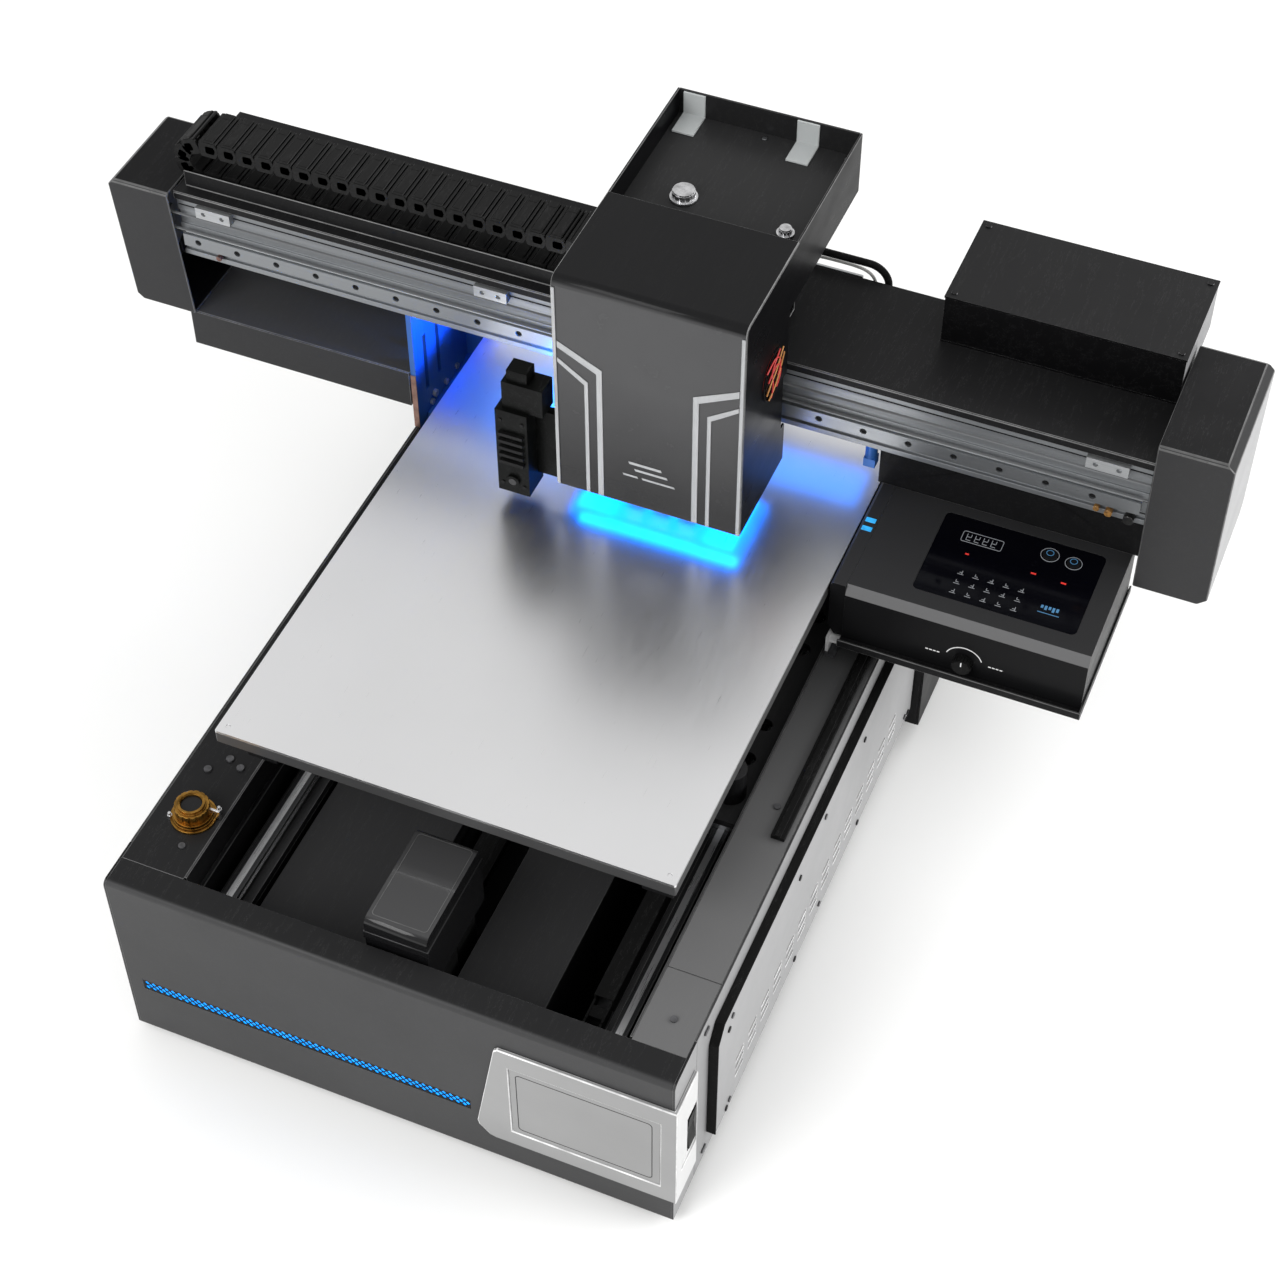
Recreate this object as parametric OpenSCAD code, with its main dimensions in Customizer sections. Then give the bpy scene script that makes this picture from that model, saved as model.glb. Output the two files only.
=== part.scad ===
// Flatbed ultraviolet printer, as separate sheet-metal, moulded and machined pieces.
// Units are millimetres. X runs along the gantry, Y from the front panel to the back, Z up.
// The origin is on the floor, at the centre of the whole machine's footprint.

/* [Base] */
// Width of the base over its side panels
base_w = 746; // [742:1:752]
// Length of the base from front panel to rear panel
base_l = 1380; // [1370:1:1450]
// Height of the base's deck above the base's lower edge
base_h = 301; // [299:1:303]
// Height of the levelling feet
foot_h = 12; // [8:1:30]
// Depth of the ledge behind the front panel
ledge_d = 41; // [38:1:42]
// Thickness of the base's sheet metal
sheet = 3; // [2:0.5:3]
// Number of vent groups along each side cover
vent_count = 14; // [6:1:15]

/* [Bed] */
// Width of the printing platen
platen_w = 600; // [560:2:600]
// Length of the printing platen
platen_l = 900; // [880:5:920]
// Thickness of the printing platen
platen_t = 20; // [12:1:20]
// Height of the platen's top above the base's lower edge
platen_z = 424; // [422:1:426]
// Distance of the platen's front edge behind the front panel
platen_y = 177; // [170:1:185]

/* [Gantry] */
// Left end of the beam
beam_left = -707; // [-720:1:-700]
// Right end of the beam
beam_right = 652; // [648:1:670]
// Front face of the beam's aluminium profile
beam_y = 853; // [852:1:854]
// Underside of the beam
beam_z = 512; // [511:1:513]
// Height of the beam's profile
beam_h = 110; // [109:1:112]
// Distance between two screw holes of the cross rail
rail_pitch = 60; // [40:5:80]
// Length of one link of the cable chain
link_pitch = 28; // [24:1:45]

/* [Print head] */
// Width of the print head's housing
head_w = 252; // [240:1:256]
// Left side of the print head's housing
head_left = -74; // [-90:1:-60]
// Height of the housing's underside
head_z = 461; // [459:1:464]
// How far the print heads stand below the housing
nozzle_drop = 21; // [15:1:21]
// Number of print heads side by side
nozzle_count = 3; // [1:1:3]

/* [Control unit] */
// Width of the control unit's body
control_w = 318; // [300:1:318]
// Height of the control unit's top
control_z = 432; // [430:1:434]
// Diameter of the turning knob
knob_d = 26; // [20:1:26]

/* [Hidden] */
$fn = 48;
gap = 0.2;
half_w = base_w / 2;
head_y = 687;
head_back = 841;
head_top = 807;
tray_back = 1091;
tray_under = 716;
tray_floor = 768;
head_right = head_left + head_w;
head_mid = (head_left + head_right) / 2;
cover_left_x = -799;
cover_right_x = 748;
bezel_t = 5;
beam_d = 120;
beam_top = beam_z + beam_h;
hood_back = 862;
rail_z = 536;
belt_z = 577;
belt_r = 12;
deck_in_l = -285;
deck_in_r = 302;
rail_l = -254;
rail_r = 268;
slide_z = 262;
frame_top = platen_z - platen_t - gap;
control_x = 324;
control_y = 683;
control_r = control_x + control_w;
knob_x = 486;
knob_z = 362;
chain_y0 = 868;
chain_y1 = 934;
chain_low = 628;
chain_high = 679;
chain_h = 26;
bend_x = -672;
mid_x = (cover_left_x + cover_right_x) / 2;
mid_y = (base_l + 2 - bezel_t - gap) / 2;

// ---------- shared shapes ----------

module box(x0, x1, y0, y1, z0, z1) {
  translate([x0, y0, z0]) cube([x1 - x0, y1 - y0, z1 - z0]);
}

// A flat outline in X and Y, from height z0 to z1
module flat_xy(z0, z1) {
  translate([0, 0, z0]) linear_extrude(z1 - z0) children();
}

// A flat outline in X and Z, from depth y0 to y1
module flat_xz(y0, y1) {
  translate([0, y1, 0]) rotate([90, 0, 0]) linear_extrude(y1 - y0) children();
}

// A flat outline in Y and Z, from x0 to x1
module flat_yz(x0, x1) {
  translate([x0, 0, 0]) rotate([90, 0, 90]) linear_extrude(x1 - x0) children();
}

module rod_x(x0, x1, y, z, r) {
  flat_yz(x0, x1) translate([y, z]) circle(r);
}

module rod_y(y0, y1, x, z, r) {
  flat_xz(y0, y1) translate([x, z]) circle(r);
}

module rod_z(z0, z1, x, y, r) {
  flat_xy(z0, z1) translate([x, y]) circle(r);
}

module rect(a0, a1, b0, b1) {
  translate([a0, b0]) square([a1 - a0, b1 - b0]);
}

module round_rect(a0, a1, b0, b1, r) {
  rect(a0 + r, a1 - r, b0, b1);
  rect(a0, a1, b0 + r, b1 - r);
  for (a = [a0 + r, a1 - r]) for (b = [b0 + r, b1 - r]) translate([a, b]) circle(r);
}

// A bent sheet corner: a quarter ring whose outer edge faces the low first axis and high second
module bend_corner(a, b, r, t) {
  translate([a, b]) intersection() {
    difference() {
      circle(r);
      circle(r - t);
    }
    rect(-r, 0, 0, r);
  }
}

module placed() {
  translate([-mid_x, -mid_y, foot_h]) children();
}

// ---------- base ----------

module feet() {
  color([0.05, 0.05, 0.05]) placed() {
    for (x = [-1, 1]) for (y = [70, base_l / 2, base_l - 70]) {
      rod_z(-foot_h, -4, x * (half_w - 45), y, 26);
      rod_z(-4, 1.8, x * (half_w - 45), y, 9);
    }
  }
}

module floor_pan_piece() {
  placed()
    box(-half_w + sheet + gap, half_w - sheet - gap, sheet + gap, base_l - sheet - gap, 2, 5);
}

module side_panel_pieces() {
  placed() {
    box(-half_w, -half_w + sheet, 66 + gap, base_l, 0, base_h);
    box(half_w - sheet, half_w, 66 + gap, base_l, 0, base_h);
  }
}

module rear_panel_piece() {
  placed() difference() {
    box(-half_w + sheet + gap, half_w - sheet - gap, base_l - sheet, base_l, 0, base_h);
    for (x = [-260 : 26 : 0]) box(x, x + 10, base_l - 10, base_l + 1, 60, 130);
    box(219, 281, base_l - 10, base_l + 1, 59, 106);
  }
}

module power_inlet_piece() {
  placed() difference() {
    union() {
      box(220, 280, base_l - 34, base_l + 2, 60, 105);
      box(214, 286, base_l + gap, base_l + 2, 54, 111);
    }
    box(230, 270, base_l - 28, base_l + 3, 68, 97);
  }
}

module fascia_profile() {
  r = 9;
  rect(0, sheet, 0, base_h - r);
  bend_corner(r, base_h - r, r, sheet);
  rect(r, ledge_d, base_h - sheet, base_h);
  rect(ledge_d - sheet, ledge_d, base_h - 60, base_h);
}

module fascia_front() {
  placed() difference() {
    flat_yz(-half_w + sheet + gap, half_w - sheet - gap) fascia_profile();
    box(-351, 106, -1, 6, 86, 106);
    box(165, 355, -1, 6, 82, 217);
  }
}

module cheek_outline() {
  rect(9, 66, 0, base_h);
  rect(0, 66, 0, base_h - 9);
  translate([9, base_h - 9]) circle(9);
}

module fascia_cheek_pieces() {
  placed() {
    flat_yz(-half_w, -half_w + sheet) cheek_outline();
    difference() {
      flat_yz(half_w - sheet, half_w) cheek_outline();
      box(half_w - 10, half_w + 1, 33, 59, 108, 188);
    }
  }
}

module led_strip_piece() {
  placed() box(-350, 105, 1.6, 9, 87, 105);
}

module led_mesh() {
  cell = 9.2;
  color([0.08, 0.08, 0.09]) placed() difference() {
    box(-350.6, 105.6, 0.2, 1.3, 86.4, 105.6);
    for (i = [0 : 48]) for (j = [0, 1])
      translate([-344.5 + i * cell + j * cell / 2, 0, 91.5 + j * 4.6])
        rotate([0, 45, 0]) translate([-2.8, -1, -2.8]) cube([5.6, 5, 5.6]);
    for (i = [0 : 48])
      translate([-344.5 + i * cell, 0, 100.7])
        rotate([0, 45, 0]) translate([-2.8, -1, -2.8]) cube([5.6, 5, 5.6]);
  }
}

module display_bezel() {
  x1 = half_w + gap + bezel_t;
  face = [[145, 247], [116, 76], [118, 68], [132, 52], [140, 50], [x1, 50], [x1, 252], [150, 252]];
  color([0.72, 0.72, 0.72]) placed() difference() {
    union() {
      flat_xz(-bezel_t - gap, -gap) polygon(face);
      box(half_w + gap, x1, -bezel_t - gap, 60, 50, 252);
    }
    box(163, 357, -8, 1, 79, 219);
    box(half_w - 1, x1 + 1, 34, 58, 109, 187);
    box(x1 - 2, x1 + 1, 12, 58, 104, 192);
  }
}

module display_screen() {
  color([0.66, 0.66, 0.66]) placed() {
    box(163.4, 356.6, -3.8, -1.2, 79.4, 218.6);
    box(168, 352, -1, 14, 86, 213);
  }
}

module rocker_socket_piece() {
  placed() difference() {
    box(half_w - 24, half_w - sheet - gap, 31, 61, 104, 192);
    box(half_w - 20, half_w, 34.5, 57.5, 109, 187);
  }
}

module power_rocker() {
  color([0.03, 0.03, 0.03]) placed() {
    rod_y(34.8, 57.2, half_w - 11, 148, 4.5);
    flat_xz(36, 56) polygon([[half_w - 8, 114], [half_w + 4.6, 114], [half_w + 1.8, 148],
      [half_w + 4.6, 182], [half_w - 8, 182], [half_w - 9.4, 148]]);
  }
}

module deck_left_piece() {
  placed() difference() {
    box(-half_w + sheet + gap, deck_in_l, ledge_d + gap, base_l - sheet - gap, base_h - 3, base_h);
    rod_z(base_h - 10, base_h + 5, -320, 130, 17.5);
  }
}

module deck_right_piece() {
  placed() {
    box(deck_in_r, half_w - sheet - gap, ledge_d + gap, 150, base_h - 3, base_h);
    box(deck_in_r, half_w - sheet - gap, 150.8, base_l - sheet - gap, base_h - 3, base_h);
  }
}

module well_walls() {
  color([0.08, 0.08, 0.09]) placed() {
    box(deck_in_l, deck_in_l + 3, ledge_d + 3, base_l - 6, 6, base_h);
    box(deck_in_r - 3 - gap, deck_in_r - gap, ledge_d + 3, base_l - 6, 6, base_h);
    box(deck_in_l + 4, deck_in_r - 4, ledge_d + gap, ledge_d + 2.2, 6, base_h - 62);
  }
}

module well_trim_piece() {
  placed() box(-281.6, -276, ledge_d + 6, base_l - 12, 258, 261);
}

module brass_collar() {
  color([0.72, 0.5, 0.18]) placed() difference() {
    union() {
      rod_z(base_h + gap, base_h + 4, -320, 130, 29);
      rod_z(base_h - 12, base_h + 27, -320, 130, 17.2);
      rod_z(base_h + 10, base_h + 24, -320, 130, 22);
    }
    rod_z(base_h - 13, base_h + 28, -320, 130, 13.5);
    for (i = [0 : 15]) translate([-320, 130, base_h + 9]) rotate([0, 0, i * 22.5])
      translate([21.2, -1.2, 0]) cube([3, 2.4, 16]);
  }
}

module deck_button() {
  color([0.12, 0.1, 0.08]) placed() {
    rod_z(base_h + 4, base_h + 24, -320, 130, 12.9);
    rod_z(base_h - 10, base_h + 4, -320, 130, 6);
  }
}

module cable_strip_piece() {
  placed() {
    box(346, 364, 372, 696, base_h + gap, base_h + 6);
    box(351, 359, 372, 696, base_h + 6, base_h + 9);
  }
}

module side_cover_outline(y0, y1) {
  polygon([[y0, 45], [y1, 45], [y1, 262], [y0 + 18, 262], [y0, 240]]);
}

module side_cover(y0, y1, vents) {
  t = 12;
  a = half_w + gap;
  b = half_w + t - 2.2;
  difference() {
    flat_yz(half_w + t - 2, half_w + t) side_cover_outline(y0, y1);
    for (i = [0 : vents - 1]) for (z = [80, 96, 112])
      box(half_w + 2, half_w + t + 1, y0 + 64 + i * 44, y0 + 90 + i * 44, z, z + 7);
  }
  box(a, b, y0, y1, 45, 47.5);
  box(a, b, y0, y0 + 2.5, 47.7, 239.8);
  box(a, b, y1 - 2.5, y1, 47.7, 262);
  box(a, b, y0 + 18.2, y1 - 2.7, 259.5, 262);
  flat_yz(a, b) polygon([[y0, 240], [y0 + 2.5, 240], [y0 + 18, 258.8], [y0 + 18, 262]]);
}

module side_covers() {
  color([0.7, 0.7, 0.71]) placed() {
    side_cover(106, 845, vent_count);
    side_cover(1066, 1340, 4);
    mirror([1, 0, 0]) side_cover(106, 845, vent_count);
    mirror([1, 0, 0]) side_cover(866, 1340, 8);
  }
}

module column_cover() {
  a = half_w + gap;
  b = half_w + 21.8;
  color([0.08, 0.08, 0.09]) placed() {
    box(half_w + 22, half_w + 25, 850, 1060, 8, base_h - 2);
    for (y = [850, 1057]) box(a, b, y, y + 3, 8, base_h - 2);
    for (z = [8, base_h - 5]) box(a, b, 853.2, 1056.8, z, z + 3);
  }
}

module screw_pieces() {
  placed() {
    for (y = [84, 420, 800, 1200]) {
      rod_z(base_h + gap, base_h + 2.2, half_w - 36, y, 4.5);
      rod_z(base_h + gap, base_h + 2.2, -half_w + 62, y, 4.5);
    }
    for (y = [92, 98]) for (z = [20, 284]) rod_x(half_w + gap, half_w + 2, y, z, 4);
    for (y = [150, 470, 815]) rod_x(half_w + 12.2, half_w + 14, y, 246, 4);
    for (y = [150, 470, 815]) rod_x(half_w + 12.2, half_w + 14, y, 60, 4);
    for (p = [[-340, 201], [-322, 226], [-303, 218]]) {
      rod_z(base_h + gap, base_h + 3, p[0], p[1], 5);
    }
  }
}

module rail_beds() {
  color([0.1, 0.1, 0.11]) placed() {
    for (x = [rail_l, rail_r]) {
      box(x - 22, x + 22, 47, base_l - 40, 200, 212);
      for (s = [-22, 16]) box(x + s, x + s + 6, 47, base_l - 40, 5.2, 199.8);
    }
    box(216.5, 245, 47, base_l - 40, 190, 206);
    for (x = [[-226, -48], [46, 163]]) {
      box(x[0], x[1], 47, base_l - 40, 196, 199);
      for (e = [x[0], x[1] - 2]) box(e, e + 2, 47, base_l - 40, 5.2, 195.8);
    }
  }
}

module rail_pieces() {
  placed() for (x = [rail_l, rail_r])
    flat_xz(50, base_l - 44) polygon([[x - 10, 212.2], [x + 10, 212.2], [x + 10, 219],
      [x + 7.5, 222], [x + 7.5, 226], [x + 10, 229], [x + 10, 232.4], [x - 10, 232.4],
      [x - 10, 229], [x - 7.5, 226], [x - 7.5, 222], [x - 10, 219]]);
}

module bed_belt_piece() {
  placed() {
    difference() {
      flat_yz(-12, 12) round_rect(150, base_l - 50, 190, 220, 14.9);
      flat_yz(-13, 13) round_rect(152, base_l - 52, 192, 218, 12.9);
    }
    for (x = [-1, 1]) box(x * 22 - 6, x * 22 + 6, 140, 190, 5.2, 235.8);
    box(-36, 34, 54, 128, 5.2, 235.8);
    for (x = [-1, 1]) box(x * 22 - 6, x * 22 + 6, base_l - 100, base_l - 40, 5.2, 232);
  }
}

module motor_outline(y0, y1, z0, z1, r) {
  rect(y0, y1, z0, z1 - r);
  rect(y0 + r, y1 - r, z0, z1);
  translate([y0 + r, z1 - r]) circle(r);
  translate([y1 - r, z1 - r]) circle(r);
}

module motor_cover() {
  color([0.1, 0.1, 0.1]) placed() difference() {
    union() {
      flat_yz(-42, 40) motor_outline(47, 196, 236, 341, 11);
      flat_yz(-43.6, 41.6) motor_outline(46, 197.6, 306, 319, 1);
    }
    flat_yz(-39, 37) motor_outline(50, 193, 235, 338, 8);
  }
}

module bed_chain_piece() {
  placed() {
    box(218, 220.6, 124, base_l - 44, 206.2, 228);
    box(241, 243.6, 124, base_l - 44, 206.2, 228);
    box(218, 243.6, 124, base_l - 44, 228.2, 230.4);
    for (i = [0, 1]) {
      y = 62 + i * 30;
      box(219, 222, y, y + 29, 206.2, 226);
      box(239.6, 242.6, y, y + 29, 206.2, 226);
      box(222, 239.6, y + 5, y + 21, 207, 210);
      box(222, 239.6, y + 5, y + 21, 222, 225);
    }
  }
}

// ---------- bed ----------

module bed_blocks() {
  color([0.6, 0.6, 0.62]) placed() for (x = [rail_l, rail_r]) for (y = [410, 790])
    difference() {
      box(x - 21, x + 21, y, y + 60, 214.6, slide_z - gap);
      flat_xz(y - 1, y + 61) polygon([[x - 10.5, 200], [x + 10.5, 200], [x + 10.5, 219.2],
        [x + 8, 222.2], [x + 8, 225.8], [x + 10.5, 228.8], [x + 10.5, 233], [x - 10.5, 233],
        [x - 10.5, 228.8], [x - 8, 225.8], [x - 8, 222.2], [x - 10.5, 219.2]]);
    }
}

module slide_frame() {
  color([0.14, 0.14, 0.15]) placed() {
    for (x = [rail_l, rail_r]) difference() {
      box(x - 26, x + 26, 395, 865, slide_z, slide_z + 10);
      for (y = [500, 560, 700, 760]) rod_z(slide_z - 1, slide_z + 11, x, y, 10);
    }
    box(rail_l + 26.2, rail_r - 26.2, 600, 680, slide_z, slide_z + 10);
    box(-14, 14, 620, 660, 224, slide_z - gap);
    for (x = [rail_l, rail_r]) for (y = [440, 820]) difference() {
      rod_z(slide_z + 10.2, slide_z + 60, x, y, 20);
      rod_z(slide_z + 10, slide_z + 61, x, y, 11);
    }
  }
}

module lift_frame() {
  top = frame_top;
  color([0.2, 0.2, 0.21]) placed() {
    for (x = [rail_l, rail_r]) {
      box(x - 20, x + 20, 200, 1055, top - 40, top);
      for (y = [440, 820]) rod_z(slide_z + 52, top - 40.2, x, y, 10);
    }
    box(rail_l + 20.2, rail_r - 20.2, 200, 240, top - 20, top);
    box(rail_l + 20.2, rail_r - 20.2, 600, 640, top - 34, top);
    box(rail_l + 20.2, rail_r - 20.2, 1015, 1055, top - 34, top);
  }
}

module platen() {
  w = platen_w / 2;
  color([0.88, 0.88, 0.9]) placed() difference() {
    flat_xy(platen_z - platen_t, platen_z)
      round_rect(-w, w, platen_y, platen_y + platen_l, 2);
    for (x = [-w + 12, w - 12]) for (y = [platen_y + 12, platen_y + platen_l - 12])
      rod_z(platen_z - 3, platen_z + 1, x, y, 3);
  }
}

// ---------- gantry ----------

module bracket(front, slots) {
  x = -half_w;
  difference() {
    box(x, x + 8, front, 1011.8, base_h + gap, beam_z - gap);
    for (y = slots) box(x - 1, x + 9, y, y + 9, 350, 450);
    for (z = [328, 476]) rod_x(x - 1, x + 9, 905, z, 4);
  }
  box(x, x + 52, 1012, 1020, base_h + gap, beam_z - gap);
  difference() {
    box(x + 8.2, x + 40, 880, 1011.8, base_h + gap, base_h + 10);
    for (y = [900, 975]) rod_z(base_h - 1, base_h + 12, x + 24, y, 5);
  }
  box(x + 8.2, x + 40, max(870, front), 1011.8, beam_z - 10, beam_z - gap);
}

module gantry_brackets() {
  color([0.22, 0.22, 0.24]) placed() {
    bracket(857, [884, 922]);
    mirror([1, 0, 0]) bracket(880.6, [922]);
    rod_z(beam_z - 26, beam_z - gap, 290, 866, 8);
    box(282, 298, 858, 874, beam_z - 40, beam_z - 26.2);
  }
}

// The extrusion's walls as plates that meet with a hair's gap
module beam_outline() {
  y = beam_y;
  z = beam_z;
  back = y + beam_d;
  difference() {
    rect(y, y + 10, z, beam_top);
    rect(y - 1, y + 5, z + 8, z + 14);
    rect(y - 1, y + 3, belt_z - 11, belt_z + 11);
    rect(y - 1, y + 5, beam_top - 8, beam_top - 3);
  }
  rect(back - 10, back, z, beam_top);
  rect(y + 10 + gap, back - 10 - gap, z, z + 8);
  rect(y + 10 + gap, back - 10 - gap, beam_top - 8, beam_top);
  rect(y + 54, y + 66, z + 8 + gap, beam_top - 8 - gap);
  rect(y + 10 + gap, y + 54 - gap, z + 50, z + 60);
  rect(y + 66 + gap, back - 10 - gap, z + 50, z + 60);
}

module beam_profile() {
  color([0.6, 0.61, 0.62]) placed() flat_yz(beam_left, beam_right) beam_outline();
}

module x_rail_outline(c) {
  y = beam_y - gap;
  z = rail_z;
  polygon([[y - 9.6 - c, z - c], [y - 9.6 - c, z + 20 + c], [y - 7 + c, z + 20 + c],
    [y - 5 + c, z + 17 + c], [y - 2, z + 17 + c], [y, z + 20 + c], [y, z - c],
    [y - 2, z + 3 - c], [y - 5 + c, z + 3 - c], [y - 7 + c, z - c]]);
}

module x_rail() {
  color([0.75, 0.76, 0.78]) placed() difference() {
    flat_yz(beam_left + 8, beam_right - 8) x_rail_outline(0);
    for (x = [beam_left + 30 : rail_pitch : beam_right - 20])
      rod_y(beam_y - 12, beam_y - 4, x, rail_z + 10, 4.6);
  }
}

module belt_outline(r) {
  rect(beam_left - 24, beam_right + 24, belt_z - r, belt_z + r);
  for (x = [beam_left - 24, beam_right + 24]) translate([x, belt_z]) circle(r);
}

module x_belt() {
  color([0.05, 0.05, 0.05]) placed() flat_xz(841.8, 846) difference() {
    belt_outline(belt_r + 1.9);
    belt_outline(belt_r + 0.5);
  }
}

module pulley(x) {
  difference() {
    union() {
      rod_y(841.5, 846.4, x, belt_z, belt_r);
      rod_y(841.3, 860, x, belt_z, 5);
    }
    for (i = [0 : 19]) translate([x, 837, belt_z]) rotate([0, i * 18, 0])
      translate([belt_r - 0.9, 0, -0.8]) cube([2, 14, 1.6]);
  }
}

module drive_pulley() {
  color([0.7, 0.7, 0.72]) placed() pulley(beam_right + 24);
}

module idler_pulley() {
  color([0.7, 0.7, 0.72]) placed() pulley(beam_left - 24);
}

module stop_block(x0, x1) {
  difference() {
    box(x0, x1, 842.4, beam_y - gap, 592, 609);
    for (x = [x0 + 12, x1 - 12]) rod_y(841, 847, x, 600.5, 3.4);
  }
}

module stop_blocks() {
  color([0.62, 0.63, 0.64]) placed() {
    stop_block(-673, -621);
    stop_block(-259, -212);
    stop_block(568, 622);
    for (x = [beam_left - 25, beam_right + 25]) difference() {
      box(x - 14, x + 14, 849, 858, belt_z - 14, belt_z + 14);
      rod_y(848, 859, x - sign(x), belt_z, 5.4);
    }
    rod_y(846, beam_y - gap, -650, 524, 4);
    rod_y(846, beam_y - gap, 590, 524, 4);
    rod_y(843, beam_y - gap, 606, 524, 5);
    rod_y(842.4, beam_y - gap, 632, 522, 7);
  }
}

module beam_cover_sheet() {
  z = beam_top;
  placed() {
    box(beam_left + gap, beam_right - gap, 847, 1034, z + gap, z + 3);
    box(beam_left + gap, beam_right - gap, 847, 849.6, z - 11, z);
    box(beam_left + gap, beam_right - gap, 1031, 1034, 545, z);
  }
}

module end_outline(y0, y1, z0, z1, back, cut) {
  polygon([[y0, z1 - 3], [y0 + 3, z1], [y1 - 3, z1], [y1, z1 - 3], [y1, z0 + cut],
    [y1 - cut, z0], [y0 + back, z0]]);
}

// The side of an end cover seen from the front, its two outer corners cut off
module end_front(inner, outer, z0, z1, c) {
  s = sign(outer - inner);
  polygon([[inner, z0], [outer - s * c, z0], [outer, z0 + c], [outer, z1 - c],
    [outer - s * c, z1], [inner, z1]]);
}

module end_cover_left() {
  color([0.15, 0.15, 0.16]) placed() difference() {
    intersection() {
      flat_yz(cover_left_x, beam_left - gap) end_outline(831, 985, 403, 629, 20, 22);
      flat_xz(830, 986) end_front(beam_left, cover_left_x, 403, 629, 9);
    }
    intersection() {
      flat_yz(cover_left_x + 2.5, beam_left + 1) end_outline(834, 982, 406, 626, 20, 22);
      flat_xz(830, 986) end_front(beam_left + 2, cover_left_x + 2.5, 406, 626, 9);
    }
  }
}

module end_cover_right() {
  color([0.15, 0.15, 0.16]) placed() difference() {
    intersection() {
      flat_yz(beam_right + gap, cover_right_x) end_outline(831.4, 1030, 404, 667, 20, 24);
      flat_xz(830, 1031) end_front(beam_right, cover_right_x, 404, 667, 11);
    }
    intersection() {
      flat_yz(beam_right - 1, cover_right_x - 2.5) end_outline(833.4, 1027, 407, 664, 20, 24);
      flat_xz(830, 1031) end_front(beam_right - 2, cover_right_x - 2.5, 407, 664, 11);
    }
  }
}

module drip_tray() {
  x0 = beam_left - 10;
  x1 = -half_w - 1;
  color([0.17, 0.17, 0.18]) placed() {
    box(x0, x1, 857, 1000, 399.8, 402.8);
    box(x0, x1, 854, 856.8, 343, 402.8);
    box(x0, x1, 1000.2, 1003, 400, beam_z - gap);
    box(x1 - 3, x1, 857, 1000, 343, 399.6);
  }
}

module electronics_box() {
  z = beam_top + 3.2;
  color([0.11, 0.11, 0.11]) placed() {
    box(341, 649, 957, 1115, z, z + 3);
    box(341, 649, 957, 960, z + 3.2, 697);
    difference() {
      box(341, 649, 1112, 1115, z + 3.2, 697);
      for (x = [380 : 18 : 600]) box(x, x + 8, 1110, 1116, 645, 680);
    }
    for (x = [341, 646]) box(x, x + 3, 960.2, 1111.8, z + 3.2, 697);
    box(340, 650, 956, 1116, 697.2, 700);
    for (x = [350, 640]) for (y = [966, 1106]) rod_z(700.2, 702, x, y, 4);
    rod_y(1115.2, 1130, 620, 655, 8);
  }
}

module chain_trough_piece() {
  z = beam_top + 3.2;
  placed() {
    box(beam_left + 12, 150, chain_y0 - 6, chain_y1 + 8, z, z + 2);
    box(beam_left + 12, 150, chain_y0 - 6, chain_y0 - 4, z + 2.2, z + 26);
    box(beam_left + 12, 150, chain_y1 + 6, chain_y1 + 8, z + 2.2, z + 26);
  }
}

// One hollow link lying along X, its low corner at x and height z
module chain_link(x, z) {
  l = link_pitch - 1.5;
  flat_xz(chain_y0, chain_y0 + 4) round_rect(x, x + l, z, z + chain_h, 4);
  flat_xz(chain_y1 - 4, chain_y1) round_rect(x, x + l, z, z + chain_h, 4);
  box(x + 6, x + l - 8, chain_y0 + 3, chain_y1 - 3, z + 1, z + 4);
  box(x + 6, x + l - 8, chain_y0 + 3, chain_y1 - 3, z + chain_h - 4, z + chain_h - 1);
}

module chain_lower() {
  count = floor((140 - bend_x) / link_pitch);
  mid = (chain_low + chain_high + chain_h) / 2;
  out = mid - chain_low;
  color([0.05, 0.05, 0.05]) placed() {
    for (i = [0 : count - 1]) chain_link(bend_x + 3 + i * link_pitch, chain_low);
    for (y = [chain_y0, chain_y1 - 4]) difference() {
      rod_y(y, y + 4, bend_x, mid, out);
      rod_y(y - 1, y + 5, bend_x, mid, out - chain_h);
      box(bend_x, bend_x + 60, y - 1, y + 5, chain_low - 5, chain_high + chain_h + 5);
    }
    for (a = [100 : 20 : 260]) translate([bend_x, 0, mid]) rotate([0, -a, 0])
      box(out - 4, out - 1, chain_y0 + 4.1, chain_y1 - 4.1, -6, 6);
  }
}

module chain_upper() {
  count = floor((head_left + 44 - bend_x - 3) / link_pitch);
  color([0.05, 0.05, 0.05]) placed()
    for (i = [0 : count - 1]) chain_link(bend_x + 3 + i * link_pitch, chain_high);
}

module quarter_tube(x, y, z, a) {
  translate([x, y, z]) rotate([90, 0, 0]) rotate([0, 0, a])
    rotate_extrude(angle = 90) translate([28, 0]) circle(5);
}

module cable_loop() {
  color([0.04, 0.04, 0.04]) placed() {
    rod_z(574, 613, 96, 1046, 5);
    quarter_tube(124, 1046, 613, 90);
    rod_x(124, 214, 1046, 641, 5);
    quarter_tube(214, 1046, 613, 0);
    rod_z(574, 613, 242, 1046, 5);
    for (x = [96, 242]) rod_z(558, 573.8, x, 1046, 9);
    for (x = [96, 242]) box(x - 14, x + 14, 1034.2, 1062, 552, 557.8);
  }
}

// ---------- print head ----------

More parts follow.
